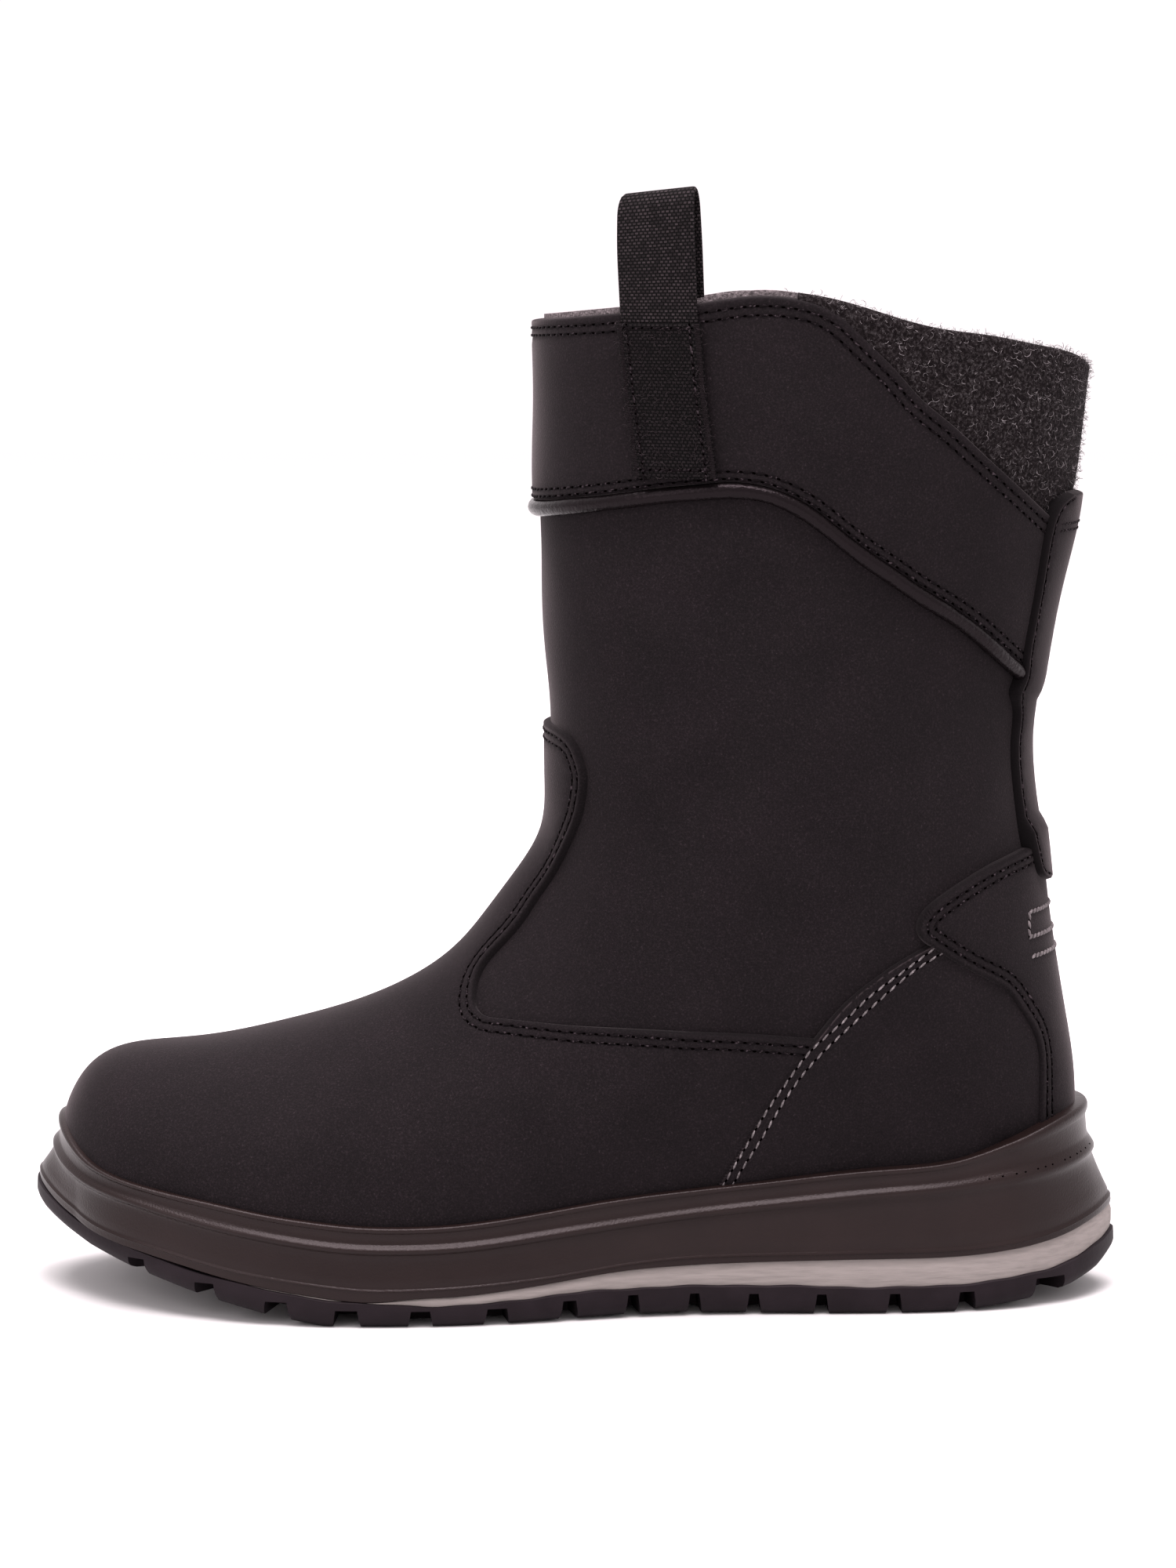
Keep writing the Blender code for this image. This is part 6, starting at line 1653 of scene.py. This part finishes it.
class BOOT_OT_panels(bpy.types.Operator):
    """Leather panels of the upper, with their stitch rows"""

    bl_idname = "boot.panels"
    bl_label = "Leather panels"

    def execute(self, context):
        leather = shared(black_nubuck, "black_nubuck", context.scene.boot_colours)
        pitch = context.scene.boot_sizes.stitch_pitch / MM
        # Each panel's edge round, the strength of the painted shade on its edges' side faces, and the
        # strength of its raw line, paler hide with a painted highlight
        for name, panel, out, node, edge, painted_edge_shade, raw in (
                ("vamp_leather", vamp_panel(), VAMP_OUT, "vamp", 0.6, 0.6, 0.15),
                ("foxing_leather_outer", foxing_panel(0), foxing_height, "foxing_outer", 0.5, 0.7, 0.4),
                ("foxing_leather_inner", foxing_panel(1), foxing_height, "foxing_inner", 0.5, 0.7, 0.4),
                ("counter_leather", counter_panel(), COUNTER_OUT, "heel_counter", 0.6, 0.6, 0.1),
                ("cuff_leather", cuff_panel(), CUFF_OUT, "cuff", 0.7, 0.0, 0.0),
                ("stay_leather", stay_panel(), stay_height, "back_stay", 0.7, 1.0, 0.0)):
            piece_from(name, panel.mesh(name, out, edge, painted_edge_shade, raw), leather, (node,))
            for run, rows in panel.free:
                for row in rows:
                    SEAMS.add("dark_thread", panel.off_edge(run, row, 0.5), out, pitch)
        for side in (0, 1):
            for row in GREY_ROWS:
                SEAMS.add("grey_thread", trace(smooth_line(row), side), foxing_height, pitch)
        self.heel_box()
        for z in BARTACK_LEVELS:
            SEAMS.add("dark_thread", across_back(z, back_x(z) - BARTACK_REACH), stay_height, BARTACK_PITCH)
        return {"FINISHED"}

    def heel_box(self):
        """Box of grey stitches across the back of the counter, with one more line under it."""
        lift = COUNTER_OUT + 0.1
        for z, x in HEEL_BOX:
            SEAMS.add("heel_thread", across_back(z, x, HEEL_BOX_RISE), lift, HEEL_PITCH, 0.8, HEEL_SLANT)
        (top, x), (low, _), _ = HEEL_BOX
        for side in (0, 1):
            run = trace(straight((x, top), (x, low)), side)
            SEAMS.add("heel_thread", run, lift, HEEL_PITCH, 1.0, HEEL_SLANT)


class BOOT_OT_piping(bpy.types.Operator):
    """Padded piping under the cuff"""

    bl_idname = "boot.piping"
    bl_label = "Piping"

    def execute(self, context):
        leather = piping_leather(context.scene.boot_colours)
        piece_from("leather_piping", piping_mesh(), leather, ("cuff_piping",))
        return {"FINISHED"}


class BOOT_OT_felt(bpy.types.Operator):
    """Felt collar with its loose fibres"""

    bl_idname = "boot.felt"
    bl_label = "Felt collar"

    def execute(self, context):
        colours, sizes = context.scene.boot_colours, context.scene.boot_sizes
        felt = wool_felt("wool_felt", colours.felt_dark, colours.felt_light)
        band = felt_mesh()
        tree = fibre_tree()
        for name, density, length, curl, points, light in (
                ("felt_fuzz", 850000.0, 0.85, 1.9, 4, 1.1), ("felt_curls", 420000.0, 0.9, 2.6, 5, 4.0)):
            fibre = spun_fibre(name + "_wool", tinted(colours.felt_light, light), 0.8, 0.1)
            mesh = grown(tree, band, {"Density": density, "Length": sizes.fibre_length * length,
                                      "Thickness": 0.00004, "Curl": curl, "Points": points,
                                      "Seed": sizes.felt_seed, "Fibre": fibre})
            piece_from(name, mesh, None, ("felt_collar",))
        piece_from("felt_band", band, felt, ("felt_collar",))
        return {"FINISHED"}


class BOOT_OT_loop(bpy.types.Operator):
    """Webbing pull loop and the stitches that hold it"""

    bl_idname = "boot.pull_loop"
    bl_label = "Pull loop"

    def execute(self, context):
        colours, sizes = context.scene.boot_colours, context.scene.boot_sizes
        tape = woven_webbing("woven_webbing", colours.webbing, 5.0)
        piece_from("pull_tape", loop_mesh(), tape, ("pull_loop",))
        patch = patch_mesh()
        fibre = spun_fibre("patch_fluff", tinted(colours.webbing, 3.2), 0.7, 0.1)
        fluff = grown(fibre_tree(), patch, {
            "Density": 1200000.0, "Length": 0.0008, "Thickness": 0.00005, "Curl": 2.0, "Points": 4,
            "Seed": sizes.felt_seed, "Fibre": fibre})
        piece_from("patch_fluff", fluff, None, ("pull_loop",))
        cloth = woven_webbing("patch_weave", tinted(colours.webbing, 0.7), 3.0)
        piece_from("loop_patch", patch, cloth, ("pull_loop",))
        face = LOOP_FACE + 0.55
        low, high = PATCH_ENDS
        for z in (high - 1.2, low + 2.0):
            middle = np.array([loop_line(k, z, z, 1)[0] for k in np.linspace(-0.49, 0.49, 30)])
            SEAMS.add("dark_thread", middle, face, 2.5)
        for side in (-1, 1):
            SEAMS.add("dark_thread", loop_line(side * 0.40, low, high, 80), face, 2.4)
            border = loop_line(side * 0.49, low + 0.4, high - 0.4, 90)
            points, up = on_last(border, face - 0.1), LAST.sample(border)[1]
            SEAMS.add_points("border_thread", points, np.cross(up, np.gradient(points, axis=0)), up)
        return {"FINISHED"}


class BOOT_OT_sole(bpy.types.Operator):
    """Cup sole, light wedge, lugged outsole and footbed"""

    bl_idname = "boot.sole"
    bl_label = "Sole"

    def execute(self, context):
        colours = context.scene.boot_colours
        rays = SoleRays()
        piece_from("cup_sole", cup_mesh(rays), moulded_foam(colours), ("midsole",))
        piece_from("light_wedge", wedge_mesh(rays), brushed_foam(colours), ("wedge",))
        rubber = black_rubber(colours)
        piece_from("lugged_outsole", outsole_mesh(rays), rubber, ("outsole",))
        felt = wool_felt("footbed_felt", tinted(colours.lining, 0.5), colours.lining)
        piece_from("footbed", footbed_mesh(rays), felt, ("insole",))
        return {"FINISHED"}


class BOOT_OT_thread(bpy.types.Operator):
    """Stitches of every seam, one piece for each thread"""

    bl_idname = "boot.thread"
    bl_label = "Stitches"

    def execute(self, context):
        colours, sizes = context.scene.boot_colours, context.scene.boot_sizes
        tree = stitch_tree()
        length, width = sizes.stitch_length, sizes.stitch_width
        # Black of the dots of painted shade in the needle holes and the mould's vents
        black, border = linear("#020101"), tinted(colours.webbing, 0.9)
        # The dark thread's high glint factor paints light specks on it as painted glints
        for thread, colour, roughness, gloss, painted_glint, sides, size, node, slot in (
                ("dark_thread", colours.dark_thread, 0.7, 0.06, 16.0, 8, (length, width, width * 0.9),
                 "upper", "nubuck"),
                ("grey_thread", colours.grey_thread, 0.6, 0.2, 1.9, 8, (length, width * 0.85, width),
                 "upper", "nubuck"),
                ("heel_thread", colours.grey_thread, 0.6, 0.3, 1.5, 8, (0.0022, 0.00085, 0.0009),
                 "heel_counter", "nubuck"),
                ("painted_needle_hole_shade", black, 1.0, 0.0, 1.0, 6, (0.0010, 0.0006, 0.00016), "upper", "nubuck"),
                ("border_thread", border, 0.6, 0.08, 1.5, 8, (0.0016, 0.0005, 0.0005),
                 "pull_loop", "webbing"),
                ("painted_vent_shade", black, 0.9, 0.0, 1.0, 6, (0.0006, 0.0005, 0.0003),
                 "midsole", "midsole_foam")):
            material = spun_fibre(thread + "_material", colour, roughness, gloss, painted_glint)
            mesh = grown(tree, SEAMS.mesh(thread), {"Length": size[0], "Width": size[1], "Height": size[2],
                                                    "Sides": sides, "Thread": material})
            piece_from(thread, mesh, None, (node,))
        return {"FINISHED"}


# Half the floor's side; its greys under the boot and far away, and where along its reach they hold
FLOOR_HALF = 6
FLOOR_REACH = 3.0
FLOOR_GREYS = ((0.12, 0.63), (0.6, 0.97))
# Faintly rosy light of the studio, strength of its surroundings, and its lamps by name, place, turn in
# degrees, size and power
STUDIO_TINT = (1, 0.92, 0.945)
SURROUNDINGS = 1.1
LAMPS = (
    ("overhead", (0.0, -0.1, 1.7), (0, 0, 0), 1.5, 60.0), ("key", (0.0, -0.8, 1.75), (26, 0, 0), 0.5, 10.0),
    ("front_left", (-1.2, -1.3, 1.0), (62, 0, -42), 1.0, 8.0),
    ("front_right", (1.3, -1.2, 0.9), (64, 0, 46), 1.0, 1.5),
)
# The photograph's view: lens and sensor in millimetres, the camera's place, and its tilt down in degrees
VIEW_LENS = 99.6
VIEW_SENSOR = 36.0
VIEW_PLACE = (0.0034, -1.10, 0.2535)
VIEW_DOWN = 6.42


class BOOT_OT_stage(bpy.types.Operator):
    """Pale floor, soft studio light and the camera"""

    bl_idname = "boot.stage"
    bl_label = "Stage"

    def execute(self, context):
        scene = context.scene
        self.floor(scene)
        world = bpy.data.worlds.new("studio")
        world.use_nodes = True
        world.node_tree.nodes["Background"].inputs["Strength"].default_value = SURROUNDINGS
        world.node_tree.nodes["Background"].inputs["Color"].default_value = (*STUDIO_TINT, 1)
        scene.world = world
        for name, place, turn, size, power in LAMPS:
            light = bpy.data.lights.new(name, "AREA")
            light.size = size
            light.energy = power
            light.color = STUDIO_TINT
            lamp = bpy.data.objects.new(name, light)
            lamp.location = place
            lamp.rotation_euler = [math.radians(v) for v in turn]
            scene.collection.objects.link(lamp)
        view = bpy.data.cameras.new("photo_view")
        view.lens = VIEW_LENS
        view.sensor_width = VIEW_SENSOR
        camera = bpy.data.objects.new("photo_view", view)
        camera.location = VIEW_PLACE
        camera.rotation_euler = (math.radians(90 - VIEW_DOWN), 0, 0)
        scene.collection.objects.link(camera)
        bpy.context.scene.camera = camera
        scene.view_settings.view_transform = "Standard"
        return {"FINISHED"}

    def floor(self, scene):
        """Matt floor, white far away and painted greyer under the boot, a painted shade that deepens the
        boot's shadow.
        """
        mesh = bpy.data.meshes.new("floor")
        corners = [(x * FLOOR_HALF, y * FLOOR_HALF, 0) for x, y in ((-1, -1), (1, -1), (1, 1), (-1, 1))]
        mesh.from_pydata(corners, [], [(0, 1, 2, 3)])
        stops = [(place, grey(value)) for place, value in FLOOR_GREYS]
        paint, add, surface = new_material("pale_floor", stops[-1][1], 0.95, 1.45, Specular_IOR_Level=0.0)
        place = add("ShaderNodeTexCoord").outputs["Object"]
        away = add("ShaderNodeVectorMath", {0: place}, operation="LENGTH").outputs["Value"]
        near = add("ShaderNodeMapRange", {"Value": away, "From Max": FLOOR_REACH}).outputs["Result"]
        add("ShaderNodeValToRGB", {"Fac": near}, stops=stops, to=surface["Base Color"])
        mesh.materials.append(paint)
        floor = bpy.data.objects.new("floor", mesh)
        scene.collection.objects.link(floor)


class BOOT_PT_panel(bpy.types.Panel):
    """Lists the boot's steps and what may be changed"""

    bl_idname = "BOOT_PT_panel"
    bl_label = "Insulated boot"
    bl_space_type = "VIEW_3D"
    bl_region_type = "UI"
    bl_category = "Boot"

    def draw(self, context):
        for step in STEPS:
            self.layout.operator(step.bl_idname)
        for group in (context.scene.boot_colours, context.scene.boot_sizes):
            for name in group.__annotations__:
                self.layout.prop(group, name)


STEPS = (BOOT_OT_shaft, BOOT_OT_panels, BOOT_OT_piping, BOOT_OT_felt, BOOT_OT_loop, BOOT_OT_sole,
         BOOT_OT_thread, BOOT_OT_stage)
CLASSES = (BootColours, BootSizes) + STEPS + (BOOT_PT_panel,)


def register():
    """Make the classes known and hang the settings on the scene."""
    for kind in CLASSES:
        bpy.utils.register_class(kind)
    bpy.types.Scene.boot_colours = PointerProperty(type=BootColours)
    bpy.types.Scene.boot_sizes = PointerProperty(type=BootSizes)


def unregister():
    """Take the settings and the classes away again."""
    del bpy.types.Scene.boot_colours
    del bpy.types.Scene.boot_sizes
    for kind in reversed(CLASSES):
        bpy.utils.unregister_class(kind)


def main():
    """Build the boot step by step."""
    register()
    for step in STEPS:
        group, name = step.bl_idname.split(".")
        getattr(getattr(bpy.ops, group), name)()


if __name__ == "__main__":
    main()
